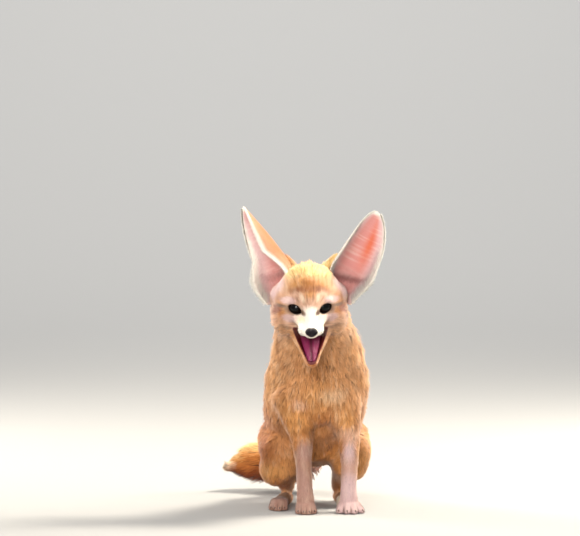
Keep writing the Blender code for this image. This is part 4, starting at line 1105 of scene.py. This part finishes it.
def tuft_mesh(name, tufts, long):
    """One mesh of closed tapered tufts, each bent over its skin."""
    count = len(tufts.roots)
    side = unit(np.cross(tufts.lies, tufts.normals))
    width = tufts.widths[:, None]
    length = tufts.lengths[:, None]
    height = tufts.heights[:, None]
    reach = np.sqrt(np.maximum(length ** 2 - height ** 2, (0.3 * length) ** 2))
    sunk = tufts.roots - tufts.normals * 0.35 * MM
    wiggle = draw.normal(0, 0.07, (count, 1)) * length
    tip = tufts.roots + tufts.lies * reach + tufts.normals * height + side * wiggle
    rows = [sunk - side * width * 0.45, sunk + side * width * 0.45,
            sunk + tufts.lies * width * 0.3 + tufts.normals * width * 0.5]
    lit = [-side, side, tufts.normals * 1.2]
    # The corners' shades are painted light: painted shade at each tuft's root and sides, painted highlights
    # on its upper corners and tip.
    painted_shading = [0.84, 0.84, 0.90]
    if long:
        middle = tufts.roots + tufts.lies * reach * 0.46 + tufts.normals * height * 0.74
        rows += [middle - side * width * 0.5, middle + side * width * 0.5,
                 middle + tufts.normals * width * 0.4]
        lit += [-side, side, tufts.normals * 1.2]
        painted_shading += [0.97, 0.97, 1.02]
    rows.append(tip)
    lit.append(tufts.normals * 1.2)
    painted_shading.append(1.1)
    points = np.stack(rows, axis=1)
    points[..., 2] = np.maximum(points[..., 2], FLOOR_GAP)
    normals = unit(np.stack(lit, axis=1) * 0.42 + tufts.normals[:, None, :] * 0.8
                   + tufts.lies[:, None, :] * 0.15)
    colours = tufts.colours[:, None, :] * np.array(painted_shading)[None, :, None]
    faces = LONG_FACES if long else SHORT_FACES
    each = points.shape[1]
    index = (faces[None] + (np.arange(count) * each)[:, None, None]).reshape(-1)
    mesh = bpy.data.meshes.new(name)
    mesh.vertices.add(count * each)
    mesh.vertices.foreach_set("co", points.astype(np.float32).ravel())
    mesh.loops.add(len(index))
    mesh.loops.foreach_set("vertex_index", index.astype(np.int32))
    mesh.polygons.add(len(index) // 3)
    mesh.polygons.foreach_set("loop_start", np.arange(0, len(index), 3, dtype=np.int32))
    mesh.update(calc_edges=True)
    patch = TUFT_PATCH if long else TUFT_PATCH[[0, 1, 2, 6]]
    spots = (tufts.unwrap[:, None, :] + patch[None]).reshape(-1, 2)[index]
    layer = mesh.uv_layers.new(name="OFBake")
    layer.data.foreach_set("uv", np.clip(spots, 0, 1).astype(np.float32).ravel())
    obj = linked(name, mesh)
    paint(obj, np.clip(colours.reshape(-1, 3), 0, 1))
    mesh.normals_split_custom_set_from_vertices(normals.reshape(-1, 3).astype(np.float32))
    return obj


def unwrapped(points, normals):
    """Each point's place on a cylinder laid round the points' own longest way."""
    middle = points.mean(axis=0)
    offset = points - middle
    ways = np.linalg.svd(offset[::max(1, len(offset) // 2000)], full_matrices=False)[2]
    along = offset @ ways[0]
    turn = np.arctan2(offset @ ways[2] + normals @ ways[2] * UNWRAP_LEAN,
                      offset @ ways[1] + normals @ ways[1] * UNWRAP_LEAN)
    spread = np.stack([turn, along], axis=1)
    low, high = spread.min(axis=0), spread.max(axis=0)
    return 0.01 + 0.98 * (spread - low) / np.maximum(high - low, 1e-9)


def varied(tufts, dark_share):
    """Makes each tuft a little lighter or darker, and some of them much darker."""
    count = len(tufts.roots)
    tint = draw.normal(1.0, 0.06, (count, 1))
    dark = draw.random((count, 1)) < dark_share[:, None]
    shade = np.where(dark, draw.uniform(0.35, 0.7, (count, 1)), 1.0)
    longer = draw.uniform(0.8, 1.2, count)
    stray = np.where(draw.random(count) < 0.06, 1.35, 1.0)
    return tufts._replace(colours=tufts.colours * tint * shade, lengths=tufts.lengths * longer,
                          heights=tufts.heights * longer * stray)


def nearest_nodes(points):
    """The flesh node that lies nearest to each point of the design's frame."""
    places, faces, owner = [], [], []
    start = 0
    for number, name in enumerate(FLESH):
        mesh = frame["nodes"][name].data
        corners = triangles_of(mesh)
        places.append(places_of(mesh) - np.array(SHIFT))
        faces.append(corners + start)
        owner += [number] * len(corners)
        start += len(mesh.vertices)
    tree = BVHTree.FromPolygons(np.concatenate(places).tolist(), np.concatenate(faces).tolist())
    return np.array([owner[tree.find_nearest(point)[2]] for point in points])


def flesh_tufts(skin, mouth):
    """The tufts of the whole skin."""
    points = places_of(skin.data)
    skip = (mouth > 0.05).astype(float)
    for hand in (LEFT, RIGHT):
        centre = np.array(eye_place(hand).translation)
        skip[np.linalg.norm(points - centre, axis=1) < EYE_RADIUS + 0.8 * MM] = 1
    nose = (in_head(points) - np.array(NOSE_CENTRE)) / (np.array(NOSE_RADII) + 0.5 * MM)
    skip[np.linalg.norm(nose, axis=1) < 1] = 1
    skip[points[:, 2] < 0.9 * MM] = 1

    def density(at):
        length = guided(at)[1] / MM
        return (0.34 + 4.6 / length) * (1 + 0.9 * tail_share(at))

    roots, normals = roots_on(skin.data, density, skip)
    lies, lengths, heights, colours = guided(roots)
    colours = marked(roots, colours)
    tail = tail_share(roots)
    place, away, way = tail_places(roots)
    ahead = np.minimum(place + 1.1, len(TAIL_RADII) - 1)
    rise = np.maximum(tail_radius(ahead) * 1.05 - away, 2 * MM)
    lies = lies * (1 - tail[:, None]) + way * tail[:, None]
    brush = TAIL_LENGTH * (1 - 0.62 * ramp(place, 4.6, 7.2))
    lengths = lengths * (1 - tail) + brush * tail
    slim = 1 - 0.45 * ramp(place, 5.2, 6.8)
    heights = heights * (1 - tail) + np.minimum(rise, 0.6 * brush) * slim * tail
    lies += draw.normal(0, 0.12, lies.shape)
    lies = unit(lies - (lies * normals).sum(axis=1, keepdims=True) * normals)
    widths = 0.26 * MM + 0.058 * lengths
    return Tufts(roots, normals, lies, lengths, heights, widths, colours, np.zeros((len(roots), 2)))


def dark_shares(points):
    """The share of dark tufts: more on the throat, few on the pale parts."""
    throat = np.linalg.norm((points / MM - (5, -48, 165)) / (28, 30, 22), axis=1)
    back = ramp(points[:, 1], 20 * MM, 80 * MM)
    return 0.03 + 0.2 * (1 - ramp(throat, 0.5, 1.3)) + 0.05 * back


def coat_pieces(tufts, owners, finish):
    """Splits the tufts by region and kind into pieces that are small enough."""
    names = np.array([REGION.get(FLESH[k], FLESH[k]) for k in range(len(FLESH))])[owners]
    for region in sorted(set(names)):
        for long in (True, False):
            chosen = np.nonzero((names == region) & ((tufts.lengths > LONGEST_SHORT) == long))[0]
            if len(chosen) < 40:
                continue
            group = pick(tufts, chosen)
            if long:
                group = clumped(group, 0.045, 0.5)
            group = varied(group, dark_shares(group.roots))
            middle = group.roots.mean(axis=0)
            order = np.argsort(np.arctan2(group.roots[:, 0] - middle[0], middle[1] - group.roots[:, 1]))
            parts = math.ceil(len(order) / TUFTS_A_PIECE[long])
            for number, part in enumerate(np.array_split(order, parts), 1):
                piece = pick(group, part)
                piece = piece._replace(unwrap=unwrapped(piece.roots, piece.normals))
                name = f"coat_{region}_{'long' if long else 'short'}_{number}"
                settle(tuft_mesh(name, piece, long), finish, REGION_SLOT[region])


# Eyes, nose, tongue, claws and whiskers

def almond_rim():
    """A closed ring that runs round the eye's opening, on the eyeball."""
    bm = bmesh.new()
    centres = []
    for across, up in almond(RIM_STEPS, RIM_GROW):
        depth = math.sqrt(max((EYE_RADIUS + RIM_LIFT) ** 2 - across ** 2 - up ** 2, 1e-8))
        centres.append(Vector((across, -depth, up)))
    loops = []
    for k, centre in enumerate(centres):
        along = (centres[(k + 1) % RIM_STEPS] - centres[k - 1]).normalized()
        out = centre.normalized()
        side = along.cross(out).normalized()
        radius = RIM_UPPER if centre.z > 0 else RIM_LOWER
        ring = []
        for j in range(RIM_SIDES):
            turn = 2 * math.pi * j / RIM_SIDES
            offset = side * math.cos(turn) + out * math.sin(turn) * 0.8
            ring.append(bm.verts.new(centre + offset * radius))
        loops.append(ring)
    for k in range(RIM_STEPS):
        first, second = loops[k], loops[(k + 1) % RIM_STEPS]
        for j in range(RIM_SIDES):
            after = (j + 1) % RIM_SIDES
            bm.faces.new((first[j], first[after], second[after], second[j]))
    bmesh.ops.recalc_face_normals(bm, faces=bm.faces)
    return bm


def make_eyes():
    eye_finish = material("eye_wet", 0.12, mottling=0.2, scale=600, Specular_IOR_Level=0.2)
    lid_finish = material("lid_skin", 0.6, mottling=0.2, scale=1500, bump=0.4, Specular_IOR_Level=0.3)
    for name, hand in (("left", LEFT), ("right", RIGHT)):
        bm = bmesh.new()
        bmesh.ops.create_uvsphere(bm, u_segments=64, v_segments=40, radius=EYE_RADIUS - 0.1 * MM)
        bmesh.ops.transform(bm, matrix=Matrix.Rotation(math.radians(90), 4, "X"), verts=bm.verts)
        for vert in bm.verts:
            forward = -vert.co.y / EYE_RADIUS
            vert.co *= 1 + 0.03 * max(0.0, (forward - 0.72) / 0.28) ** 1.2
        eye = object_of(bm, "eyeball_" + name, eye_place(hand))
        local = np.array([tuple(eye_place(hand).inverted() @ Vector(p)) for p in places_of(eye.data)])
        off_axis = np.hypot(local[:, 0], local[:, 2]) / MM
        iris = linear((0.07, 0.035, 0.025))
        pupil = linear((0.02, 0.015, 0.015))
        share = ramp(off_axis, 3.2, 3.9) * (1 - 0.7 * ramp(off_axis, 6.2, 7.4))
        paint(eye, pupil + share[:, None] * (iris - pupil))
        settle(eye, eye_finish, "eye", "eye_" + name)
        lids = object_of(almond_rim(), "lids_" + name, lid_place(hand))
        paint(lids, linear((0.06, 0.04, 0.035)))
        settle(lids, lid_finish, "coat_head")


def make_nose():
    bm = bmesh.new()
    bmesh.ops.create_icosphere(bm, subdivisions=6, radius=1.0)
    for vert in bm.verts:
        x, y, z = vert.co
        front = max(0.0, -y)
        heart = 1 - 0.28 * max(0.0, -z) ** 1.2
        vert.co.x *= heart * (1 + 0.06 * max(0.0, z))
        groove = math.exp(-(x / 0.13) ** 2) * front * (0.55 - 0.3 * z)
        vert.co.y += 0.2 * groove + 0.12 * front ** 3
        for hand in (LEFT, RIGHT):
            away = ((x - hand * 0.48) / 0.24) ** 2 + ((z - 0.02 - 0.1 * (abs(x) - 0.48)) / 0.19) ** 2
            slit = ((abs(x) - 0.72) / 0.2) ** 2 + ((z + 0.1) / 0.1) ** 2
            vert.co.y += front * (0.42 * math.exp(-away) if x * hand > 0 else 0.0)
            vert.co.y += front * (0.16 * math.exp(-slit) if x * hand > 0 else 0.0)
        top_notch = math.exp(-(x / 0.2) ** 2) * max(0.0, z) ** 2
        vert.co.z -= 0.14 * top_notch
    place = head_place() @ Matrix.Translation(NOSE_CENTRE) @ Matrix.Diagonal((*NOSE_RADII, 1.0))
    nose = object_of(bm, "nose_pad", place)
    local = (in_head(places_of(nose.data)) - np.array(NOSE_CENTRE)) / np.array(NOSE_RADII)
    # Painted shade in the nostrils: the pad is darker there.
    aside, rise = (np.abs(local[:, 0]) - 0.48) / 0.2, (local[:, 2] - 0.02) / 0.16
    shade = 1 - 0.5 * np.exp(-aside ** 2 - rise ** 2)
    paint(nose, linear((0.10, 0.06, 0.09)) * shade[:, None])
    finish = material("nose_leather", 0.5, mottling=0.15, scale=1800, bump=0.7, Specular_IOR_Level=0.3)
    settle(nose, finish, "nose_skin", "nose")


def make_tongue():
    bm = bmesh.new()
    rings = metres(TONGUE)
    fine = []
    count = 48
    for k in range(count + 1):
        spot = k / count * (len(rings) - 1)
        i = min(int(spot), len(rings) - 2)
        share = spot - i
        fine.append(Ring(*(a + (b - a) * share for a, b in zip(rings[i], rings[i + 1]))))
    tube(bm, fine, sides=48)
    tongue = object_of(bm, "tongue_body")
    local = places_of(tongue.data)
    centre_z = np.interp(local[:, 1], [r.y for r in reversed(fine)], [r.z for r in reversed(fine)])
    wide = np.interp(local[:, 1], [r.y for r in reversed(fine)], [r.side for r in reversed(fine)])
    top = ramp(local[:, 2] - centre_z, -0.5 * MM, 1.0 * MM)
    groove = np.exp(-(local[:, 0] / (1.6 * MM)) ** 2)
    edge = np.clip(np.abs(local[:, 0]) / wide, 0, 1)
    local[:, 2] -= top * (1.5 * MM * groove - 0.9 * MM * edge ** 2)
    local[:, 1] += 0.35 * MM * np.sin(local[:, 1] / (1.1 * MM)) * top * 0.3
    set_places(tongue.data, local)
    tongue.data.transform(head_place())
    # The tongue is darker along its groove, towards its back and underneath: painted shade.
    base, deep = linear((0.51, 0.11, 0.29)), linear((0.29, 0.05, 0.12))
    back = ramp(local[:, 1], -42 * MM, -8 * MM)
    share = np.clip(groove * 0.8 * top + 0.7 * back + 0.5 * (1 - top), 0, 1)
    paint(tongue, base + share[:, None] * (deep - base))
    finish = material("tongue_wet", 0.45, mottling=0.1, scale=2200, bump=0.6, Coat_Weight=0.1)
    settle(tongue, finish, "tongue_skin", "tongue")


def spike(bm, points, radii, sides=8):
    """A closed tapered stem through the points, with a sharp end."""
    frames = frames_along(points, UP if abs((points[-1] - points[0]).normalized().z) < 0.8 else ACROSS)
    loops = []
    for (along, side, over), point, radius in zip(frames[:-1], points, radii):
        ring = []
        for k in range(sides):
            turn = 2 * math.pi * k / sides
            ring.append(bm.verts.new(point + (side * math.cos(turn) + over * math.sin(turn)) * radius))
        loops.append(ring)
    tip = bm.verts.new(points[-1])
    for first, second in zip(loops, loops[1:]):
        for k in range(sides):
            after = (k + 1) % sides
            bm.faces.new((first[k], first[after], second[after], second[k]))
    bm.faces.new(list(reversed(loops[0])))
    for k in range(sides):
        bm.faces.new((loops[-1][k], loops[-1][(k + 1) % sides], tip))


def make_claws():
    bm = bmesh.new()
    for paw in (*FOREPAW.values(), *HINDPAW.values()):
        ahead = (paw.toe - paw.root).normalized()
        for tip, knuckle in toe_places(paw):
            way = tip - knuckle
            way.z = 0
            way = way.normalized() * 0.6 + ahead * 0.4
            start = tip + way * (TOE_RADIUS * 0.55) + UP * 0.9 * MM
            points = [start + way * ahead_by + UP * rise for ahead_by, rise in CLAW_BEND]
            spike(bm, points, (1.0 * MM, 0.95 * MM, 0.6 * MM))
    bmesh.ops.recalc_face_normals(bm, faces=bm.faces)
    claws = object_of(bm, "claws")
    paint(claws, linear((0.34, 0.25, 0.2)))
    settle(claws, material("claw_horn", 0.35, mottling=0.25, scale=1200), "nose_skin")


def make_whiskers():
    bm = bmesh.new()
    place = head_place()
    steps = 7
    for hand in (LEFT, RIGHT):
        for row in range(3):
            for k in range(4):
                root = Vector((hand * (9.5 + 0.6 * k), -50 + 4.4 * k, -8.0 - 2.6 * row + 0.5 * k)) * MM
                length = (18 + 5.5 * k - 2 * row + draw.uniform(-2, 2)) * MM
                way = Vector((hand * (0.86 + 0.06 * k), -0.32 + 0.2 * k, 0.12 - 0.2 * row)).normalized()
                points = []
                for s in range(steps):
                    share = s / (steps - 1)
                    droop = Vector((0, 0.18, -0.22)) * length * share ** 2
                    points.append(place @ (root + way * length * (share - 0.06) + droop))
                radii = [(0.16 - 0.13 * s / (steps - 1)) * MM for s in range(steps - 1)]
                spike(bm, points, radii, sides=5)
    bmesh.ops.recalc_face_normals(bm, faces=bm.faces)
    whiskers = object_of(bm, "whiskers")
    paint(whiskers, linear((0.36, 0.28, 0.24)))
    settle(whiskers, material("whisker_hair", 0.45, mottling=0.2, scale=1500), "coat_head")


# Ears

def ear_points(ear, hand, share, across, depth_in):
    """Points of an ear's wall, depth_in inwards from its back; across runs from -1 to 1."""
    axis = np.array((ear.tip - ear.root).normalized())
    turn = ear.turn_root + (ear.turn_tip - ear.turn_root) * np.clip(share / EAR_TURNED_BY, 0, 1)
    lateral = np.stack([np.cos(turn) * hand, np.sin(turn), np.zeros_like(turn)], axis=1)
    lateral = unit(lateral - (lateral @ axis)[:, None] * axis)
    facing = np.cross(lateral, axis) * hand
    low = np.clip((share + EAR_SUNK) / (2 * EAR_SUNK), 0, 1)
    above = np.clip(share, 0, 1)
    half_width = ear.half_width * (0.6 + 0.4 * low) * (1 - above ** 2.7) ** 0.6
    cup = np.minimum(ear.depth * (1 - above) ** 1.1 * (0.75 + above), half_width * 1.1)
    half_arc = 2 * np.arctan2(cup, half_width)
    radius = half_width / np.sin(half_arc)
    angle = across * half_arc
    reach = radius - depth_in
    centre = np.array(ear.root) + share[:, None] * np.array(ear.tip - ear.root)
    centre[:, 0] += hand * ear.bow * np.sin(math.pi * above)
    back = reach * np.cos(angle) - radius * np.cos(half_arc)
    return centre + lateral * (reach * np.sin(angle))[:, None] - facing * back[:, None]


def ear_wall(share, across):
    above = np.clip(1.4 * np.clip(share, 0, 1), 0, 1)
    return (EAR_WALL_ROOT + (EAR_WALL_RIM - EAR_WALL_ROOT) * above) * (1 - 0.55 * across ** 4)


def ear_depths(share, across):
    """How deep the skin of the back and of the inside lies in the ear's wall."""
    wall = ear_wall(share, across)
    return np.full_like(wall, 0.35 * MM), np.maximum(wall - 0.35 * MM, 0.45 * MM)


def ear_colours(share, across, hand, inside):
    """The colours of an ear's inside or back at a share of its length and a place across it."""
    rim = ramp(np.abs(across), 0.80, 0.97) + ramp(share, 0.93, 0.99)
    rim = np.clip(rim, 0, 1)[:, None]
    if not inside:
        streak = np.exp(-((across + 0.15) / 0.35) ** 2)[:, None] * 0.45
        colour = linear(TAN) + streak * (linear(RUST) - linear(TAN))
        pale = ramp(np.abs(across), 0.45, 0.85)[:, None]
        colour = colour + 0.5 * pale * (linear(PINKISH) - colour)
        return colour + rim * (linear(WHITE) - colour)
    base = linear(PINK) + ramp(np.abs(across), 0.3, 0.85)[:, None] * (linear(LILAC) - linear(PINK))
    hairs = value_noise(np.stack([share, across * 0.5 + 0.2 * share, share * 0], axis=1), (0.012, 0.45, 1))
    base = base + 0.3 * np.clip(hairs, 0, 1)[:, None] * (linear(WHITE) - base)
    # A painted glow of light inside the left ear only.
    painted_glow = np.exp(-((across - 0.32) / 0.2) ** 2 - ((share - 0.60) / 0.24) ** 2)[:, None] * (hand == LEFT)
    colour = base + 0.8 * painted_glow * (linear(EAR_GLOW) - base)
    # Painted shade in the deep fold at the ear's root, over its own reddish skin; stronger in the left ear.
    fold_shade = np.exp(-((share - 0.12 - 0.07 * across) / 0.045) ** 2 - ((across - 0.1) / 0.7) ** 2)[:, None]
    colour = colour + (0.75 if hand == LEFT else 0.4) * fold_shade * (linear(RED_IN_SHADE) - colour)
    return colour + rim * (linear(WHITE) - colour)


def make_ear(name, hand, finish):
    """An ear's closed shell, with fine ripples on its inside."""
    ear = EARS[hand]
    shares = -EAR_SUNK * 0.6 + (0.992 + EAR_SUNK * 0.6) * np.linspace(0, 1, EAR_FINE_RINGS + 1) ** 0.88
    columns = np.linspace(-1, 1, EAR_FINE_COLUMNS + 1)
    bm = bmesh.new()
    sections, colours = [], []
    for share in shares:
        along = np.full(len(columns), share)
        back_depth, inside_depth = ear_depths(along, columns)
        ripples = 0.18 * MM * np.sin(share * 95 + 3 * columns) * (1 - np.abs(columns)) * (share > 0.05)
        back = ear_points(ear, hand, along, columns, back_depth)
        inside = ear_points(ear, hand, along, columns, inside_depth + ripples)
        sections.append([Vector(p) for p in np.concatenate([back, inside[::-1]])])
        colours.append(ear_colours(along, columns, hand, False))
        colours.append(ear_colours(along, columns, hand, True)[::-1])
    skin_over(bm, sections)
    obj = object_of(bm, name + "_shell")
    paint(obj, np.concatenate(colours))
    settle(obj, finish, "coat_ear", name)


def ear_roots(ear, hand, count, inside):
    """Random shares and places across an ear, spread evenly over its wall."""
    share = draw.uniform(-0.1, 0.985, count * 2)
    wide = (1 - np.maximum(share, 0) ** 2.7) ** 0.6
    share = share[draw.random(count * 2) < wide][:count]
    across = draw.uniform(-1, 1, len(share))
    back, deep = ear_depths(share, across)
    depth = deep if inside else back
    step = 1e-3
    at = ear_points(ear, hand, share, across, depth)
    up = unit(ear_points(ear, hand, share + step, across, depth) - at)
    over = unit(ear_points(ear, hand, share, across + step, depth) - at)
    out = unit(ear_points(ear, hand, share, across, depth - 0.1 * MM) - at) * (-1 if inside else 1)
    return share, across, at, up, over, out


def ear_tufts(hand, count, inside):
    """The tufts of an ear's inside or back."""
    ear = EARS[hand]
    share, across, at, up, over, out = ear_roots(ear, hand, count, inside)
    sign = np.sign(across)[:, None]
    edge = ramp(np.abs(across), 0.55, 0.95)[:, None]
    if inside:
        lie = up * 0.9 - over * sign * 0.55 * edge + draw.normal(0, 0.15, up.shape)
        fringe = 5.5 * edge[:, 0] * (1 - 0.5 * np.maximum(share, 0))
        length = (2.2 + fringe + 4.0 * (1 - ramp(share, 0.0, 0.35))) * MM
        height = 0.28 * length
    else:
        lie = up + over * sign * 0.35 * edge + draw.normal(0, 0.12, up.shape)
        length = (3.0 + 1.5 * (1 - share)) * MM
        height = 0.22 * length
    colours = ear_colours(share, across, hand, inside)
    lie = unit(lie - (lie * out).sum(axis=1, keepdims=True) * out)
    unwrap = np.stack([0.01 + 0.48 * (across + 1) / 2 + 0.5 * inside, 0.11 + 0.88 * share], axis=1)
    widths = 0.25 * MM + 0.06 * length
    return Tufts(at, out, lie, length, height, widths, colours, unwrap)


def rim_tufts(hand, count):
    """The pale fringe along an ear's edges."""
    ear = EARS[hand]
    share = draw.uniform(-0.1, 0.985, count)
    across = np.where(draw.random(count) < 0.5, -1.0, 1.0) * draw.uniform(0.965, 1.0, count)
    back, deep = ear_depths(share, across)
    part = draw.random(count)
    depth = back + (deep - back) * part
    step = 1e-3
    at = ear_points(ear, hand, share, across, depth)
    up = unit(ear_points(ear, hand, share + step, across, depth) - at)
    inner = ear_points(ear, hand, share, across * 0.96, depth)
    away = unit(at - inner)
    low = 1 - ramp(share, 0.12, 0.38)
    lie = unit(up * (0.9 - 0.85 * low)[:, None] + away * 0.8 + draw.normal(0, 0.15, up.shape))
    facing = ear_points(ear, hand, share, across, deep) - ear_points(ear, hand, share, across, back)
    out = unit(away + unit(facing) * (2 * part - 1)[:, None] * 1.5)
    length = (2.0 + 4.5 * low * (across > 0) + draw.uniform(0, 1.2, count)) * MM
    unwrap = np.stack([np.clip(0.01 + 0.48 * (across + 1) / 2, 0, 1), 0.11 + 0.88 * share], axis=1)
    colours = np.tile(linear(WHITE), (count, 1))
    return Tufts(at, out, lie, length, 0.15 * length, 0.25 * MM + 0.05 * length, colours, unwrap)


def make_ears(finish):
    skin_finish = material("ear_skin", 0.6, mottling=0.1, scale=700, bump=0.5)
    for name, hand in (("ear_left", LEFT), ("ear_right", RIGHT)):
        make_ear(name, hand, skin_finish)
        group = joined([ear_tufts(hand, 15000, False), ear_tufts(hand, 12000, True), rim_tufts(hand, 5000)])
        group = varied(group, np.full(len(group.roots), 0.02))
        settle(tuft_mesh("coat_" + name, group, False), finish, "coat_ear")


# Floor, light and camera

def area_light(name, place, aim, size, power, colour=(1, 1, 1)):
    light = bpy.data.lights.new(name, "AREA")
    light.size = size
    light.energy = power
    light.color = colour
    obj = linked(name, light)
    obj.location = place
    obj.rotation_mode = "QUATERNION"
    obj.rotation_quaternion = (Vector(aim) - Vector(place)).to_track_quat("-Z", "Y")


def floor_sheet():
    """A floor that sweeps up behind the object without an edge."""
    bm = bmesh.new()
    profile = [(-9.0, 0.0), (2.5, 0.0)]
    for step in range(1, 13):
        turn = math.radians(90 * step / 12)
        profile.append((2.5 + 2.5 * math.sin(turn), 2.5 - 2.5 * math.cos(turn)))
    profile.append((5.0, 9.0))
    rows = [[bm.verts.new((side, y, z)) for side in (-9.0, 9.0)] for y, z in profile]
    for first, second in zip(rows, rows[1:]):
        bm.faces.new((first[0], first[1], second[1], second[0]))
    return object_of(bm, "floor")


def make_stage():
    floor = floor_sheet()
    floor.data.shade_smooth()
    finish = bpy.data.materials.new("floor_pale")
    finish.use_nodes = True
    shader = finish.node_tree.nodes["Principled BSDF"]
    shader.inputs["Base Color"].default_value = (0.36, 0.355, 0.345, 1)
    shader.inputs["Roughness"].default_value = 0.9
    floor.data.materials.append(finish)
    world = bpy.data.worlds.new("studio")
    world.use_nodes = True
    world.node_tree.nodes["Background"].inputs[0].default_value = (0.72, 0.74, 0.78, 1)
    world.node_tree.nodes["Background"].inputs[1].default_value = 0.68
    bpy.context.scene.world = world
    middle = (0, 0, 0.2)
    area_light("backdrop", (0, 2.4, 3.2), (0, 5, 1.2), 2.5, 140, (1, 0.99, 0.97))
    area_light("key", (0.7, 0.25, 1.3), middle, 0.35, 42, (1, 0.93, 0.80))
    area_light("rim_left", (-1.2, 0.7, 0.7), middle, 0.5, 26, (1, 0.94, 0.84))
    area_light("rim_right", (1.2, 0.7, 0.5), middle, 0.5, 20, (1, 0.94, 0.84))
    area_light("front", (-0.4, -2.3, 0.8), middle, 1.0, 49, (1, 0.97, 0.93))


def make_camera():
    camera = linked("camera", bpy.data.cameras.new("camera"))
    back = Vector((0, -math.cos(CAMERA_RISE), math.sin(CAMERA_RISE)))
    camera.location = CAMERA_AIM + SHIFT + back * CAMERA_DISTANCE
    camera.rotation_mode = "QUATERNION"
    camera.rotation_quaternion = (-back).to_track_quat("-Z", "Y")
    camera.data.sensor_width = SENSOR_WIDTH
    camera.data.lens = SENSOR_WIDTH * CAMERA_DISTANCE / CAMERA_WIDTH
    camera.data.clip_end = 100
    bpy.context.scene.camera = camera
    bpy.context.scene.view_settings.view_transform = "Standard"


def skin_colours(points, mouth):
    colours = marked(points, guided(points)[3]) * SKIN_SHADE
    # The mouth's skin takes its lining's red, darkened by painted shade of the mouth's hollow.
    wet = linear(RED_IN_SHADE)
    return colours + mouth[:, None] * (wet - colours)


def main():
    skin, mouth = whole_skin()
    fur = material("fur", 0.62, mottling=0.06, scale=1400, Sheen_Weight=0.25, Sheen_Roughness=0.45,
                   Specular_IOR_Level=0.3)
    skin_finish = material("skin", 0.6, mottling=0.1, scale=800, bump=0.3)
    tufts = flesh_tufts(skin, mouth)
    owners = nearest_nodes(tufts.roots)
    coat_pieces(tufts, owners, fur)
    paint(skin, skin_colours(places_of(skin.data), mouth))
    settle(skin, skin_finish, "coat_body", *FLESH)
    make_ears(fur)
    make_eyes()
    make_nose()
    make_tongue()
    make_claws()
    make_whiskers()
    make_stage()
    make_camera()


main()
